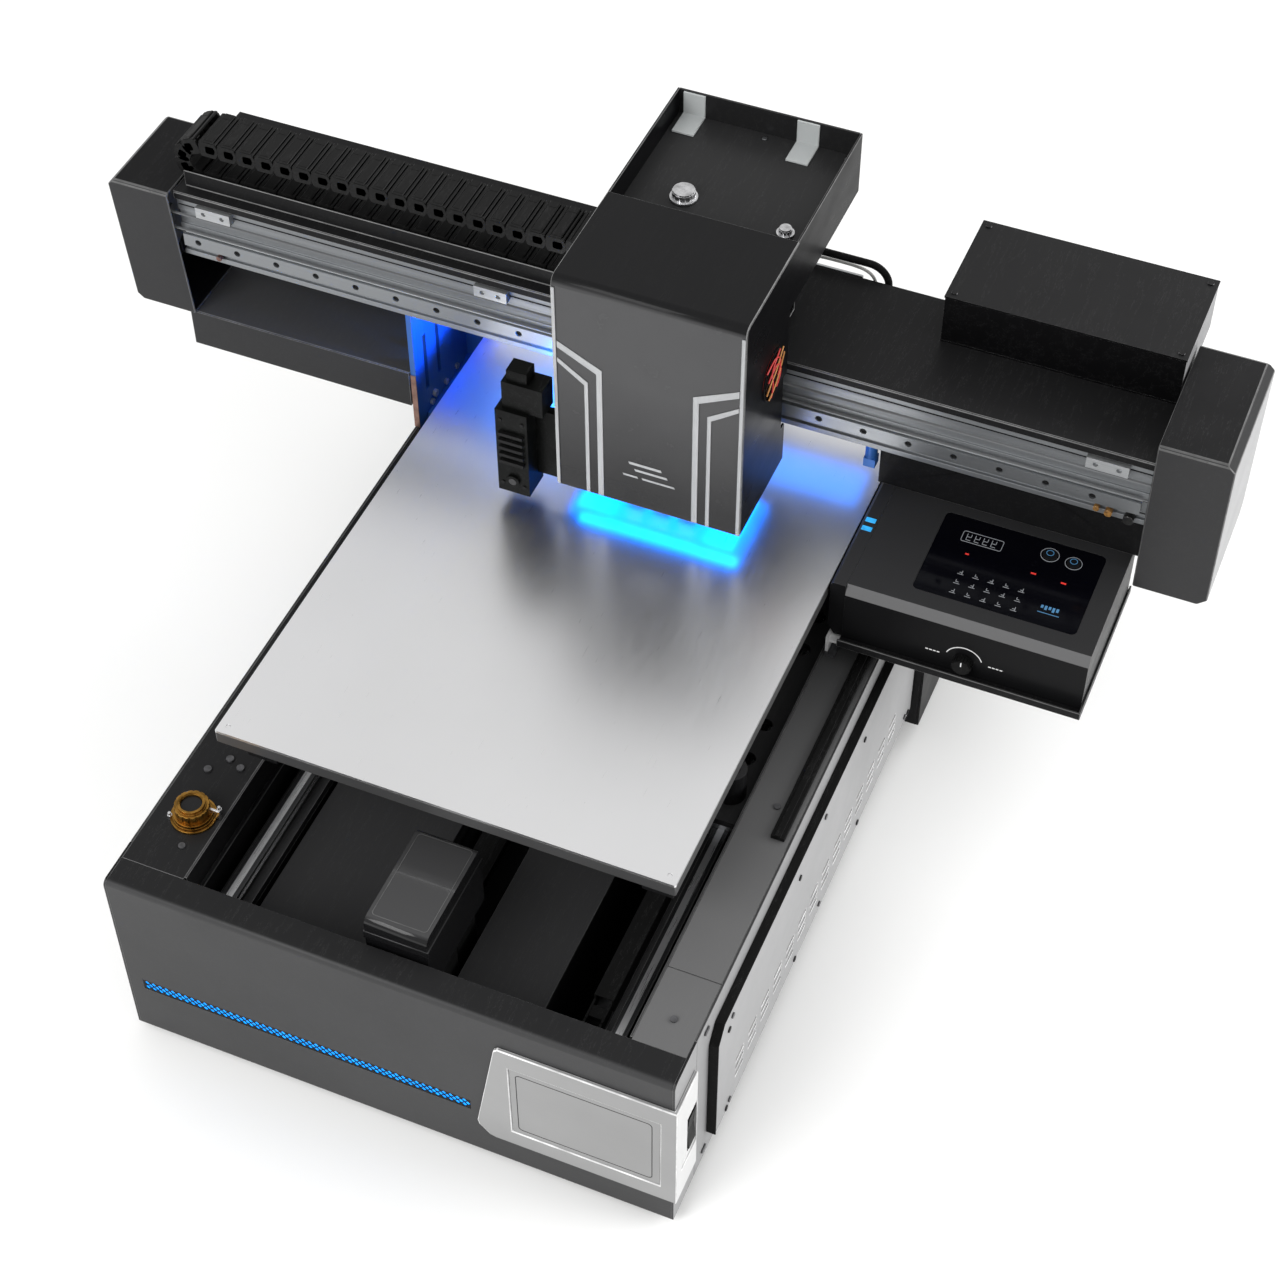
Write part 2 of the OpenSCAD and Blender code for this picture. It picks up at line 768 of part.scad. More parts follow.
module carriage_plate() {
  color([0.55, 0.56, 0.58]) placed() {
    difference() {
      box(head_left + 8, head_right - 8, 820, 830.8, 480, 700);
      for (x = [head_mid - 60, head_mid + 60]) rod_y(819, 832, x, 640, 14);
    }
    for (x = [head_left + 14, head_right - 74]) difference() {
      box(x, x + 60, 831, 850.6, 530, 562);
      flat_yz(x - 1, x + 61) {
        x_rail_outline(0.5);
        rect(847, 860, rail_z - 0.6, rail_z + 20.6);
      }
    }
    box(head_mid - 18, head_mid + 18, 831, 841.2, 566, 588);
    box(head_left + 8, head_right - 8, 831, 1060, 706, 712);
    box(head_left + 18.5, head_left + 50, chain_y0 + 6, chain_y1 - 6, 684, 706);
  }
}

module carriage_side_outline() {
  polygon([[690.2, head_z], [head_back, head_z], [head_back, 524], [829, 524], [829, 612],
    [head_back, 612], [head_back, tray_under], [tray_back, tray_under], [tray_back, head_top],
    [hood_back + gap, head_top], [hood_back + gap, head_top - 3.2], [699, head_top - 3.2],
    [694.6, head_top - 4.4], [691.4, head_top - 7.6], [690.2, head_top - 12]]);
}

module carriage_sides() {
  color([0.09, 0.09, 0.1]) placed() {
    flat_yz(head_left, head_left + 3) carriage_side_outline();
    difference() {
      flat_yz(head_right - 3, head_right) carriage_side_outline();
      rod_x(head_right - 10, head_right + 1, 786, 655, 34);
    }
    difference() {
      box(head_left + 3.2, head_right - 3.2, 690.2, 819.8, head_z, head_z + 3);
      box(head_mid - 56, head_mid + 56, 715, 805, head_z - 1, head_z + 4);
    }
  }
}

module hood_profile() {
  r = 12;
  rect(head_y, head_y + 3, head_z, head_top - r);
  bend_corner(head_y + r, head_top - r, r, 3);
  rect(head_y + r, hood_back, head_top - 3, head_top);
}

module carriage_hood() {
  color([0.06, 0.06, 0.07]) placed() flat_yz(head_left, head_right) hood_profile();
}

// A stripe that runs in from the housing's edge, bends and drops to the lower edge
module stripe(edge, reach, w, side) {
  y0 = edge;
  a = side * (head_w / 2);
  b = side * reach;
  c = side * (reach + w);
  polygon([[a, y0], [a, y0 - w * 1.3], [c, y0 - 33 - w], [c, head_z + 2], [b, head_z + 2],
    [b, y0 - 33]]);
}

module hood_trim() {
  color([0.8, 0.8, 0.82]) placed() {
    for (x = [head_left + 0.5, head_right - 5.5]) {
      box(x, x + 5, head_y - 1.6, head_y - gap, head_z + 2, head_top - 14);
    }
    translate([head_mid, 0, 0]) flat_xz(head_y - 0.9, head_y - gap) for (s = [-1, 1]) {
      intersection() {
        union() {
          stripe(712, 60, 8, s);
          stripe(686, 79, 5.5, s);
        }
        rect(-head_w / 2 + 6, head_w / 2 - 6, head_z, head_top);
      }
    }
  }
}

module rear_tray() {
  x0 = head_left + 3.2;
  x1 = head_right - 3.2;
  f = tray_floor + 3;
  color([0.1, 0.1, 0.11]) placed() {
    box(x0, x1, 845, tray_back - 3.2, tray_under, tray_under + 3);
    box(x0, x1, hood_back + 3.4, tray_back - 3.2, tray_floor, f);
    box(x0, x1, hood_back + gap, hood_back + 3.2, tray_floor, head_top - 3.2);
    box(x0, x1, tray_back - 3, tray_back, tray_under, head_top);
    rod_z(f + gap, f + 5, 1, 927, 9);
    rod_z(f + gap, f + 5, 143, 910, 5);
  }
}

module clear_brackets() {
  f = tray_floor + 3;
  color([0.9, 0.95, 1, 0.4]) placed() for (x = [-64, 92]) {
    box(x, x + 30, tray_back - 6.2, tray_back - 3.2, f + gap, head_top - 1);
    box(x, x + 30, tray_back - 46, tray_back - 6.2, f + gap, f + 3.2);
  }
}

module cap(x, y, r, h) {
  z = tray_floor + 3.6;
  difference() {
    union() {
      rod_z(z, z + 3, x, y, r);
      rod_z(z + 3, z + h - 2, x, y, r - 3);
      rod_z(z + h - 2, z + h, x, y, r - 4);
    }
    rod_z(z - 1, z + 6, x, y, r * 0.62);
    for (i = [0 : 11]) translate([x, y, z + 3.2]) rotate([0, 0, i * 30])
      translate([r - 3.6, -0.9, 0]) cube([3, 1.8, h]);
  }
}

module tray_cap_large() {
  color([0.85, 0.85, 0.86]) placed() cap(1, 927, 18, 13);
}

module tray_cap_small() {
  color([0.85, 0.85, 0.86]) placed() cap(143, 910, 11.5, 10);
}

module fan_guard() {
  y = 786;
  z = 655;
  color([0.1, 0.06, 0.05]) placed() {
    translate([0, y, z]) flat_yz(head_right + gap, head_right + 2.2) {
      for (r = [10, 18, 26, 34]) difference() {
        circle(r + 1);
        circle(r - 1);
      }
      for (a = [0 : 60 : 150]) rotate(a) rect(-35, 35, -1.2, 1.2);
      circle(6);
    }
    difference() {
      box(head_right - 24, head_right - 3.2, y - 37, y + 33, z - 37, z + 37);
      rod_x(head_right - 25, head_right - 2, y, z, 32);
    }
  }
}

module fan_impeller() {
  color([0.9, 0.35, 0.1]) placed() translate([head_right - 22, 786, 655]) {
    rod_x(0, 16, 0, 0, 12);
    for (i = [0 : 6]) rotate([i * 360 / 7, 0, 0]) translate([8, 10, 0]) rotate([0, 34, 0])
      translate([-0.9, 0, -8]) cube([1.8, 20, 16]);
  }
}

module print_heads() {
  color([0.3, 0.3, 0.32]) placed() for (i = [0 : nozzle_count - 1]) {
    x = head_mid - 51 + i * 36;
    box(x, x + 30, 722, 798, head_z - 8, head_z + 30);
    box(x + 4, x + 26, 730, 790, head_z - nozzle_drop, head_z - 8);
  }
}

module uv_lamps() {
  color([0.15, 0.3, 0.9]) placed() for (x = [head_left + 6, head_right - 62]) {
    box(x, x + 56, 705, 812, head_z - 13, head_z - gap);
    box(x + 6, x + 50, 711, 806, head_z - 15, head_z - 13);
  }
}

module height_sensor() {
  x = head_left;
  color([0.05, 0.05, 0.05]) placed() {
    box(x - 72, x - 28, 662, 704, 447, 588);
    box(x - 64, x - 8, 668, 700, 588.2, 632);
    box(x - 58, x - 30, 672, 696, 632.2, 650);
    box(x - 27.8, x - gap, 688, 700, 470, 580);
    rod_y(658, 661.8, x - 50, 470, 9);
  }
}

// ---------- control unit ----------

module control_body_shell() {
  z = control_z;
  y = control_y;
  placed() difference() {
    flat_yz(control_x, control_r) polygon([[y, 338.4], [y, z - 15], [y + 7, z], [900, z],
      [900, 338.4]]);
    flat_xy(z - 2.4, z + 1) round_rect(400, 614, 715, 860, 8);
    for (b = [[545, 836, 10.4], [577, 833, 9.4]]) rod_z(z - 16, z, b[0], b[1], b[2]);
    box(half_w - 8.6, half_w + 0.6, 880, 901, 338, z + 1);
  }
}

module control_tray() {
  color([0.07, 0.07, 0.07]) placed() {
    difference() {
      box(322, 645, 671, 905, 335, 338.2);
      box(half_w - 8.6, half_w + 0.6, 880, 906, 334, 339);
    }
    difference() {
      box(299, 651.6, 876, 880, control_z + 0.4, beam_z - gap);
      for (x = [318, 420, 520, 620]) rod_y(875, 881, x, beam_z - 14, 3);
    }
    box(322, 645, 668, 670.8, 335, 347);
    box(control_r + 0.4, 645, 671, 905, 338.4, 347);
    box(344, 362, 700, 740, base_h + gap, 334.8);
    box(344, 362, 780, 845, base_h + gap, 334.8);
  }
}

module control_strip_piece() {
  z = control_z;
  placed() flat_xz(685, 900)
    polygon([[303.4, 352], [303.4, z - 4], [307, z - gap], [control_x - 0.4, z - gap],
      [control_x - 0.4, 338.4], [312, 338.4]]);
}

module strip_light_pieces() {
  z = control_z;
  placed() for (y = [786, 802]) box(307.5, 321, y, y + 8, z, z + 0.8);
}

module control_glass() {
  z = control_z - 2.2;
  color([0.02, 0.02, 0.02]) placed() difference() {
    flat_xy(z, z + 1.8) round_rect(400.4, 613.6, 715.4, 859.6, 7.6);
    for (b = [[545, 836, 10.4], [577, 833, 9.4]]) rod_z(z - 1, z + 3, b[0], b[1], b[2]);
  }
}

module panel_mark_pieces() {
  z = control_z - 0.2;
  placed() {
    for (p = [[535, 797], [575, 795], [447, 797]]) rod_z(z, z + 0.6, p[0], p[1], 2.6);
    box(430, 486, 815, 838, z, z + 0.5);
    for (i = [0 : 4]) for (j = [0 : 2])
      box(444 + i * 20, 457 + i * 20, 724 + j * 17, 734 + j * 17, z, z + 0.5);
    rod_z(z, z + 0.5, 572, 748, 9);
  }
}

module panel_button(x, y, r) {
  z = control_z;
  rod_z(z - 6, z + 1.6, x, y, r);
  rod_z(z - 14, z - 6, x, y, r / 2);
}

module panel_button_a() {
  color([0.35, 0.35, 0.37]) placed() panel_button(545, 836, 9.6);
}

module panel_button_b() {
  color([0.35, 0.35, 0.37]) placed() panel_button(577, 833, 8.6);
}

module control_knob() {
  r = knob_d / 2;
  color([0.04, 0.04, 0.04]) placed() {
    difference() {
      union() {
        rod_y(672, control_y - 0.6, knob_x, knob_z, r);
        rod_y(670, 672, knob_x, knob_z, r - 1.5);
      }
      for (i = [0 : 17]) translate([knob_x, 669, knob_z]) rotate([0, i * 20, 0])
        translate([r - 0.8, 0, -0.8]) cube([2, 10, 1.6]);
      box(knob_x - 1, knob_x + 1, 669, 671, knob_z + 2, knob_z + r);
    }
  }
}

module knob_scale_piece() {
  y = control_y;
  placed() translate([knob_x, 0, knob_z]) flat_xz(y - 0.8, y - gap)
    difference() {
      circle(26);
      circle(24.4);
      rect(-30, 30, -30, 9);
    }
}

module tray_clip_piece() {
  placed() {
    box(305, 318, 676, 704, base_h + gap, base_h + 4);
    box(305, 309, 676, 704, base_h + 4, 337);
    box(309, 321.6, 676, 704, 330, 334);
  }
}

// ---------- sub-parts made of several loose pieces ----------

module base_panels() {
  color([0.16, 0.16, 0.17]) {
    floor_pan_piece();
    side_panel_pieces();
    rear_panel_piece();
  }
}

module front_fascia() {
  color([0.18, 0.18, 0.19]) {
    fascia_front();
    fascia_cheek_pieces();
  }
}

module base_fittings() {
  color([0.04, 0.04, 0.04]) {
    rocker_socket_piece();
    power_inlet_piece();
    cable_strip_piece();
  }
}

module glow_strips() {
  color([0.1, 0.7, 1]) {
    led_strip_piece();
    strip_light_pieces();
  }
}

module decks() {
  color([0.2, 0.2, 0.21]) {
    deck_left_piece();
    deck_right_piece();
  }
}

module base_hardware() {
  color([0.55, 0.55, 0.57]) {
    screw_pieces();
    tray_clip_piece();
  }
}

module bed_rails() {
  color([0.75, 0.76, 0.78]) {
    rail_pieces();
    well_trim_piece();
  }
}

module bed_drive() {
  color([0.05, 0.05, 0.05]) {
    bed_belt_piece();
    bed_chain_piece();
  }
}

module beam_cover() {
  color([0.1, 0.1, 0.1]) {
    beam_cover_sheet();
    chain_trough_piece();
  }
}

module control_body() {
  color([0.05, 0.05, 0.05]) {
    control_body_shell();
    control_strip_piece();
  }
}

module panel_marks() {
  color([0.8, 0.2, 0.18]) {
    panel_mark_pieces();
    knob_scale_piece();
  }
}

feet();
base_panels();
front_fascia();
base_fittings();
glow_strips();
led_mesh();
display_bezel();
display_screen();
power_rocker();
decks();
well_walls();
brass_collar();
deck_button();
side_covers();
column_cover();
base_hardware();
rail_beds();
bed_rails();
bed_drive();
motor_cover();
bed_blocks();
slide_frame();
lift_frame();
platen();
gantry_brackets();
beam_profile();
x_rail();
x_belt();
drive_pulley();
idler_pulley();
stop_blocks();
beam_cover();
end_cover_left();
end_cover_right();
drip_tray();
electronics_box();
chain_lower();
chain_upper();
cable_loop();
carriage_plate();
carriage_sides();
carriage_hood();
hood_trim();
rear_tray();
clear_brackets();
tray_cap_large();
tray_cap_small();
fan_guard();
fan_impeller();
print_heads();
uv_lamps();
height_sensor();
control_body();
control_tray();
control_glass();
panel_marks();
panel_button_a();
panel_button_b();
control_knob();
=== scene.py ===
import math

import bmesh
import bpy
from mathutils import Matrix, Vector


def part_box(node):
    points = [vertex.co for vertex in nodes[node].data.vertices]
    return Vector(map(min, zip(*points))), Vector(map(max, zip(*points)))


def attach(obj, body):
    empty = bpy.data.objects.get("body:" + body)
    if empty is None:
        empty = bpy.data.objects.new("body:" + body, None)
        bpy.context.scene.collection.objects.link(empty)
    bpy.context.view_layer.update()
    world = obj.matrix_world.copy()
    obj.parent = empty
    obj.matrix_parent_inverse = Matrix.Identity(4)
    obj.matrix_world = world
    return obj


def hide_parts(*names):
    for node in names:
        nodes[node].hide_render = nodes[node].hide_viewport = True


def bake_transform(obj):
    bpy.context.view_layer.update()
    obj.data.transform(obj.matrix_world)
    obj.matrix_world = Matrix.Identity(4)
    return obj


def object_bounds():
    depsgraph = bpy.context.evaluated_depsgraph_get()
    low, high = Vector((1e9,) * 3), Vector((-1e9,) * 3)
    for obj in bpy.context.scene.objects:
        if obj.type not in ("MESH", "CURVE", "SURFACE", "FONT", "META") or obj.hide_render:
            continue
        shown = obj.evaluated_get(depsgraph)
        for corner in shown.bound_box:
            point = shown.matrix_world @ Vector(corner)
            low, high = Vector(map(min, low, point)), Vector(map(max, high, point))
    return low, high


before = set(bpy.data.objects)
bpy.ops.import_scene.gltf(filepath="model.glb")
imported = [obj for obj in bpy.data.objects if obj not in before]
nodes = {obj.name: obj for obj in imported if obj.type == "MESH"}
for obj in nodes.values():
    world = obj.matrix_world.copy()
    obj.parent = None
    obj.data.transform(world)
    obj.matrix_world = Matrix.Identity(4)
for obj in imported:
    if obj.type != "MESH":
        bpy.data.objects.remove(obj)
cad_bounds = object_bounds()
scene = bpy.context.scene

# ---------------------------------------------------------------- places
# Sizes below are millimetres in the machine's own directions: X from the bed's centre line to the
# machine's right, Y back from the front panel, Z up from the base's lower edge.
platen_low, platen_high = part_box("platen")
fascia_low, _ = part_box("front_fascia")
ORIGIN = Vector(((platen_low.x + platen_high.x) / 2, fascia_low.y, fascia_low.z))


def at(x, y, z):
    """A place on the machine, in the frame's metres."""
    return ORIGIN + Vector((x, y, z)) / 1000


def span(node):
    """Lowest and highest corner of a CAD node in the machine's millimetres."""
    low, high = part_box(node)
    return (low - ORIGIN) * 1000, (high - ORIGIN) * 1000


BASE_HIGH = span("base_panels")[1]
BED_LOW, BED_HIGH = span("platen")
HOOD_LOW, HOOD_HIGH = span("carriage_hood")
TRAY_LOW, TRAY_HIGH = span("rear_tray")
BEAM_LOW, BEAM_HIGH = span("beam_profile")
RAIL_LOW, RAIL_HIGH = span("x_rail")
CHAIN_LOW, CHAIN_HIGH = span("chain_upper")
BEND_LOW, BEND_HIGH = span("chain_lower")
GLASS_HIGH = span("control_glass")[1]
BODY_LOW = span("control_body")[0]
COVER_LOW, COVER_HIGH = span("side_covers")
SCREEN_LOW, SCREEN_HIGH = span("display_screen")
SENSOR_LOW = span("height_sensor")[0]
HEADS_LOW, HEADS_HIGH = span("print_heads")
MOTOR_LOW, MOTOR_HIGH = span("motor_cover")
COLLAR_LOW, COLLAR_HIGH = span("brass_collar")
KNOB_LOW, KNOB_HIGH = span("control_knob")
LOOP_LOW, LOOP_HIGH = span("cable_loop")
HEAD_MID = (HOOD_LOW.x + HOOD_HIGH.x) / 2

# ---------------------------------------------------------------- materials


class Surface:
    """A material built up from noise in the piece's own space."""

    def __init__(self, name, rough=0.5, metal=0.0, specular=0.5):
        self.material = bpy.data.materials.new(name)
        self.material.use_nodes = True
        self.tree = self.material.node_tree
        self.shader = self.tree.nodes["Principled BSDF"]
        self.shader.inputs["Roughness"].default_value = rough
        self.shader.inputs["Metallic"].default_value = metal
        self.shader.inputs["Specular IOR Level"].default_value = specular
        self.place = self.node("ShaderNodeTexCoord").outputs["Object"]

    def node(self, kind, **settings):
        made = self.tree.nodes.new(kind)
        for key, value in settings.items():
            setattr(made, key, value)
        return made

    def link(self, source, target):
        self.tree.links.new(source, target)

    def stretched(self, scale):
        mapping = self.node("ShaderNodeMapping")
        mapping.inputs["Scale"].default_value = scale
        self.link(self.place, mapping.inputs["Vector"])
        return mapping.outputs["Vector"]

    def noise(self, scale, detail=4.0, stretch=None, roughness=0.55):
        made = self.node("ShaderNodeTexNoise")
        made.inputs["Scale"].default_value = scale
        made.inputs["Detail"].default_value = detail
        made.inputs["Roughness"].default_value = roughness
        self.link(self.stretched(stretch) if stretch else self.place, made.inputs["Vector"])
        return made.outputs["Fac"]

    def ranged(self, value, low, high, new_low, new_high):
        made = self.node("ShaderNodeMapRange")
        for key, number in zip(("From Min", "From Max", "To Min", "To Max"),
                               (low, high, new_low, new_high)):
            made.inputs[key].default_value = number
        self.link(value, made.inputs["Value"])
        return made.outputs["Result"]

    def maths(self, operation, a, b):
        made = self.node("ShaderNodeMath", operation=operation)
        for slot, value in zip(made.inputs, (a, b)):
            if isinstance(value, (int, float)):
                slot.default_value = value
            else:
                self.link(value, slot)
        return made.outputs["Value"]

    def mix(self, factor, a, b):
        made = self.node("ShaderNodeMix", data_type="RGBA")
        for key, value in (("Factor", factor), ("A", a), ("B", b)):
            slots = [s for s in made.inputs if s.name == key and s.enabled]
            slot = slots[-1]
            if isinstance(value, tuple):
                slot.default_value = (*value, 1.0) if len(value) == 3 else value
            elif isinstance(value, (int, float)):
                slot.default_value = value
            else:
                self.link(value, slot)
        return [s for s in made.outputs if s.enabled][-1]

    def measured(self, axis, start):
        """Distance from start along one of the frame's axes, in millimetres."""
        split = self.node("ShaderNodeSeparateXYZ")
        self.link(self.place, split.inputs["Vector"])
        moved = self.maths("SUBTRACT", split.outputs[axis], start)
        return self.maths("MULTIPLY", moved, 1000.0)

    def height(self):
        """Height above the machine's lower edge, in millimetres."""
        return self.measured("Z", ORIGIN.z)

    def across(self):
        """Distance to the right of the machine's middle, in millimetres."""
        return self.measured("X", ORIGIN.x)

    def along(self):
        """Distance behind the machine's front, in millimetres."""
        return self.measured("Y", ORIGIN.y)

    def facing(self, axis):
        """1 where the surface faces along the axis either way, 0 where it runs beside it."""
        split = self.node("ShaderNodeSeparateXYZ")
        self.link(self.node("ShaderNodeTexCoord").outputs["Normal"], split.inputs["Vector"])
        return self.maths("ABSOLUTE", split.outputs[axis], 0.0)

    def colour(self, value):
        if isinstance(value, tuple):
            self.shader.inputs["Base Color"].default_value = (*value, 1.0)
        else:
            self.link(value, self.shader.inputs["Base Color"])

    def roughness(self, value):
        self.link(value, self.shader.inputs["Roughness"])

    def bump(self, value, distance, strength=1.0):
        made = self.node("ShaderNodeBump")
        made.inputs["Strength"].default_value = strength
        made.inputs["Distance"].default_value = distance
        self.link(value, made.inputs["Height"])
        self.link(made.outputs["Normal"], self.shader.inputs["Normal"])

    def glow(self, colour, strength):
        self.shader.inputs["Emission Color"].default_value = (*colour, 1.0)
        self.shader.inputs["Emission Strength"].default_value = strength


def shade(colour, amount):
    return tuple(min(1.0, c * amount) for c in colour)


def tone(s, colour, spread=0.12, scale=2.4):
    """A colour that drifts a little over the whole piece, with no hard patches."""
    cloud = s.ranged(s.noise(scale, 2, roughness=0.4), 0.25, 0.75, 0.0, 1.0)
    return s.mix(cloud, shade(colour, 1 - spread), shade(colour, 1 + spread)), cloud


def scuffs(s, base, light, amount):
    """Fine hairline scratches, few and faint."""
    line = s.noise(46, 6, (1, 0.12, 1), 0.7)
    near = s.ranged(s.maths("ABSOLUTE", s.maths("SUBTRACT", line, 0.5), 0), 0.0, 0.004, amount, 0.0)
    return s.mix(near, base, light)


def painted_up_face_light(s, base, cloud, top):
    """Faces that look up get another colour than the walls: painted shade or painted light for how the light
    falls on tops.
    """
    above = s.mix(cloud, shade(top, 0.9), shade(top, 1.1))
    return s.mix(s.ranged(s.facing("Z"), 0.75, 0.95, 0.0, 1.0), base, above)


def powder_coat(name, colour, rough=0.42, side=None, specular=0.08, top=None):
    """Sprayed sheet metal: fine orange peel over a faintly uneven coat; top is painted shade or painted
    light on up-facing faces, side a painted pale reflection on faces along X.
    """
    s = Surface(name, rough, specular=specular)
    base, cloud = tone(s, colour)
    # painted shade or painted light on the up-facing faces
    if top:
        base = painted_up_face_light(s, base, cloud, top)
    # painted reflection: faces along X are made pale by the bright floor they mirror
    if side:
        pale = s.mix(cloud, shade(side, 0.96), shade(side, 1.04))
        base = s.mix(s.ranged(s.facing("X"), 0.75, 0.95, 0.0, 1.0), base, pale)
    s.colour(scuffs(s, base, (0.2, 0.2, 0.2), 0.12))
    s.roughness(s.ranged(s.noise(14, 6), 0.3, 0.75, rough - 0.05, rough + 0.07))
    s.bump(s.noise(900, 3), 0.00005, 0.35)
    return s.material


def moulded(name, colour, rough=0.45, grain=1400.0, depth=0.00006, specular=0.3, side=None):
    """Moulded plastic: fine spark-eroded grain and slight handling marks; side is a painted pale reflection
    on faces along X.
    """
    s = Surface(name, rough, specular=specular)
    base, cloud = tone(s, colour, 0.1, 5)
    # painted reflection: faces along X are made pale by the bright floor they mirror
    if side:
        pale = s.mix(cloud, shade(side, 0.95), shade(side, 1.05))
        base = s.mix(s.ranged(s.facing("X"), 0.75, 0.95, 0.0, 1.0), base, pale)
    s.colour(scuffs(s, base, (0.3, 0.3, 0.3), 0.1))
    s.roughness(s.ranged(s.noise(22, 6), 0.3, 0.75, rough - 0.06, rough + 0.07))
    s.bump(s.noise(grain, 2), depth, 0.4)
    return s.material


def worn_and_highlit_edge(name, colour, rough=0.3, metal=0.0, specular=0.5):
    """The rounded edge of a coated part: lighter than the part as a painted highlight, and rubbed brighter
    in places as wear.
    """
    s = Surface(name, rough, metal, specular)
    rub = s.ranged(s.noise(34, 5), 0.35, 0.7, 0.0, 1.0)
    # the edge colour is lighter than the part's own as a painted highlight; the rub adds real wear
    s.colour(s.mix(rub, colour, shade(colour, 1.9)))
    s.roughness(s.ranged(s.noise(90, 4), 0.3, 0.7, rough - 0.05, rough + 0.1))
    s.bump(s.noise(700, 2), 0.00003, 0.3)
    return s.material


def brushed(name, colour, rough=0.32, along="X", fine=900.0, depth=0.00003, metal=1.0):
    """Brushed or ground metal, its scratches along one axis."""
    s = Surface(name, rough, metal=metal)
    stretch = {"X": (0.02, 1, 1), "Y": (1, 0.02, 1), "Z": (1, 1, 0.02)}[along]
    streak = s.noise(fine, 4, stretch)
    broad = s.noise(40, 3, stretch)
    base = s.mix(s.ranged(broad, 0.3, 0.7, 0.0, 1.0), shade(colour, 0.9), shade(colour, 1.08))
    stain = s.ranged(s.noise(5, 5), 0.5, 0.8, 0.0, 0.25)
    s.colour(s.mix(stain, base, shade(colour, 0.85)))
    s.roughness(s.ranged(streak, 0.25, 0.75, rough - 0.07, rough + 0.1))
    s.bump(streak, depth, 0.5)
    return s.material


def deck_with_painted_shade(name):
    """Painted light and shade: the left deck is painted near black as shade, the right one lighter where
    light falls, darkening toward the back as a painted shadow of the control unit.
    """
    s = Surface(name, 0.34, specular=0.1)
    cloud = s.ranged(s.noise(2.4, 2, roughness=0.4), 0.25, 0.75, 0.0, 1.0)
    # painted shade on the left deck, painted light on the right deck and a painted shadow toward its back
    left = s.mix(cloud, (0.012, 0.012, 0.0125), (0.015, 0.015, 0.0155))
    front = s.mix(cloud, (0.1, 0.1, 0.101), (0.125, 0.125, 0.126))
    rear = s.mix(cloud, (0.05, 0.05, 0.051), (0.06, 0.06, 0.061))
    right = s.mix(s.ranged(s.along(), 420.0, 720.0, 0.0, 1.0), front, rear)
    base = s.mix(s.ranged(s.across(), 0.0, 1.0, 0.0, 1.0), left, right)
    s.colour(scuffs(s, base, (0.2, 0.2, 0.2), 0.12))
    s.roughness(s.ranged(s.noise(14, 6), 0.3, 0.75, 0.3, 0.42))
    s.bump(s.noise(900, 3), 0.00005, 0.35)
    return s.material


def bed_rail(name):
    """Dark steel rails with one painted highlight line along the top, and a dull trim on the wall."""
    s = Surface(name, 0.3, metal=0.9)
    streak = s.noise(900, 4, (1, 0.02, 1))
    away = s.maths("ABSOLUTE", s.maths("SUBTRACT", s.across(), 7.0), 0.0)
    track = s.maths("ABSOLUTE", s.maths("SUBTRACT", away, 261.0), 0.0)
    # painted highlight: a bright line where the rail's top edge catches the light
    bright = s.ranged(track, 4.0, 4.6, 1.0, 0.0)
    bright = s.maths("MULTIPLY", bright, s.ranged(s.height(), 231.6, 232.2, 0.0, 1.0))
    dark = s.mix(streak, (0.05, 0.05, 0.052), (0.08, 0.08, 0.082))
    s.colour(s.mix(bright, dark, (0.72, 0.72, 0.73)))
    s.roughness(s.ranged(streak, 0.25, 0.75, 0.24, 0.36))
    s.bump(streak, 0.00003, 0.5)
    return s.material


def small_parts(name):
    """Blackened screws low down; the clip on the control tray is pale plastic."""
    s = Surface(name, 0.38)
    high = s.ranged(s.height(), BASE_HIGH.z + 9, BASE_HIGH.z + 10, 0.0, 1.0)
    stain = s.ranged(s.noise(160, 4), 0.35, 0.65, 0.0, 1.0)
    dark = s.mix(stain, (0.03, 0.03, 0.032), (0.07, 0.07, 0.075))
    pale = s.mix(stain, (0.6, 0.6, 0.6), (0.72, 0.72, 0.71))
    s.colour(s.mix(high, dark, pale))
    s.roughness(s.ranged(s.noise(300, 4), 0.3, 0.7, 0.3, 0.5))
    s.bump(s.noise(700, 3), 0.00004, 0.4)
    return s.material


def platen_metal(name):
    """The bed: a bright ground top plate; the sides below it are painted dark for the dark reflection they
    show.
    """
    s = Surface(name, 0.4, metal=1.0)
    streak = s.noise(800, 4, (1, 0.03, 1))
    cloud = s.ranged(s.noise(2.4, 4), 0.3, 0.7, 0.0, 1.0)
    bright = s.mix(cloud, (0.82, 0.82, 0.825), (0.87, 0.87, 0.875))
    # painted reflection: the side faces are coloured dark for the dark surroundings they mirror
    dark = s.mix(cloud, (0.05, 0.05, 0.051), (0.075, 0.075, 0.076))
    top = s.ranged(s.height(), BED_HIGH.z - 4.0, BED_HIGH.z - 3.2, 0.0, 1.0)
    s.colour(s.mix(top, dark, bright))
    s.link(s.ranged(top, 0.0, 1.0, 0.25, 1.0), s.shader.inputs["Metallic"])
    s.roughness(s.ranged(streak, 0.25, 0.75, 0.27, 0.35))
    s.bump(streak, 0.00002, 0.4)
    return s.material


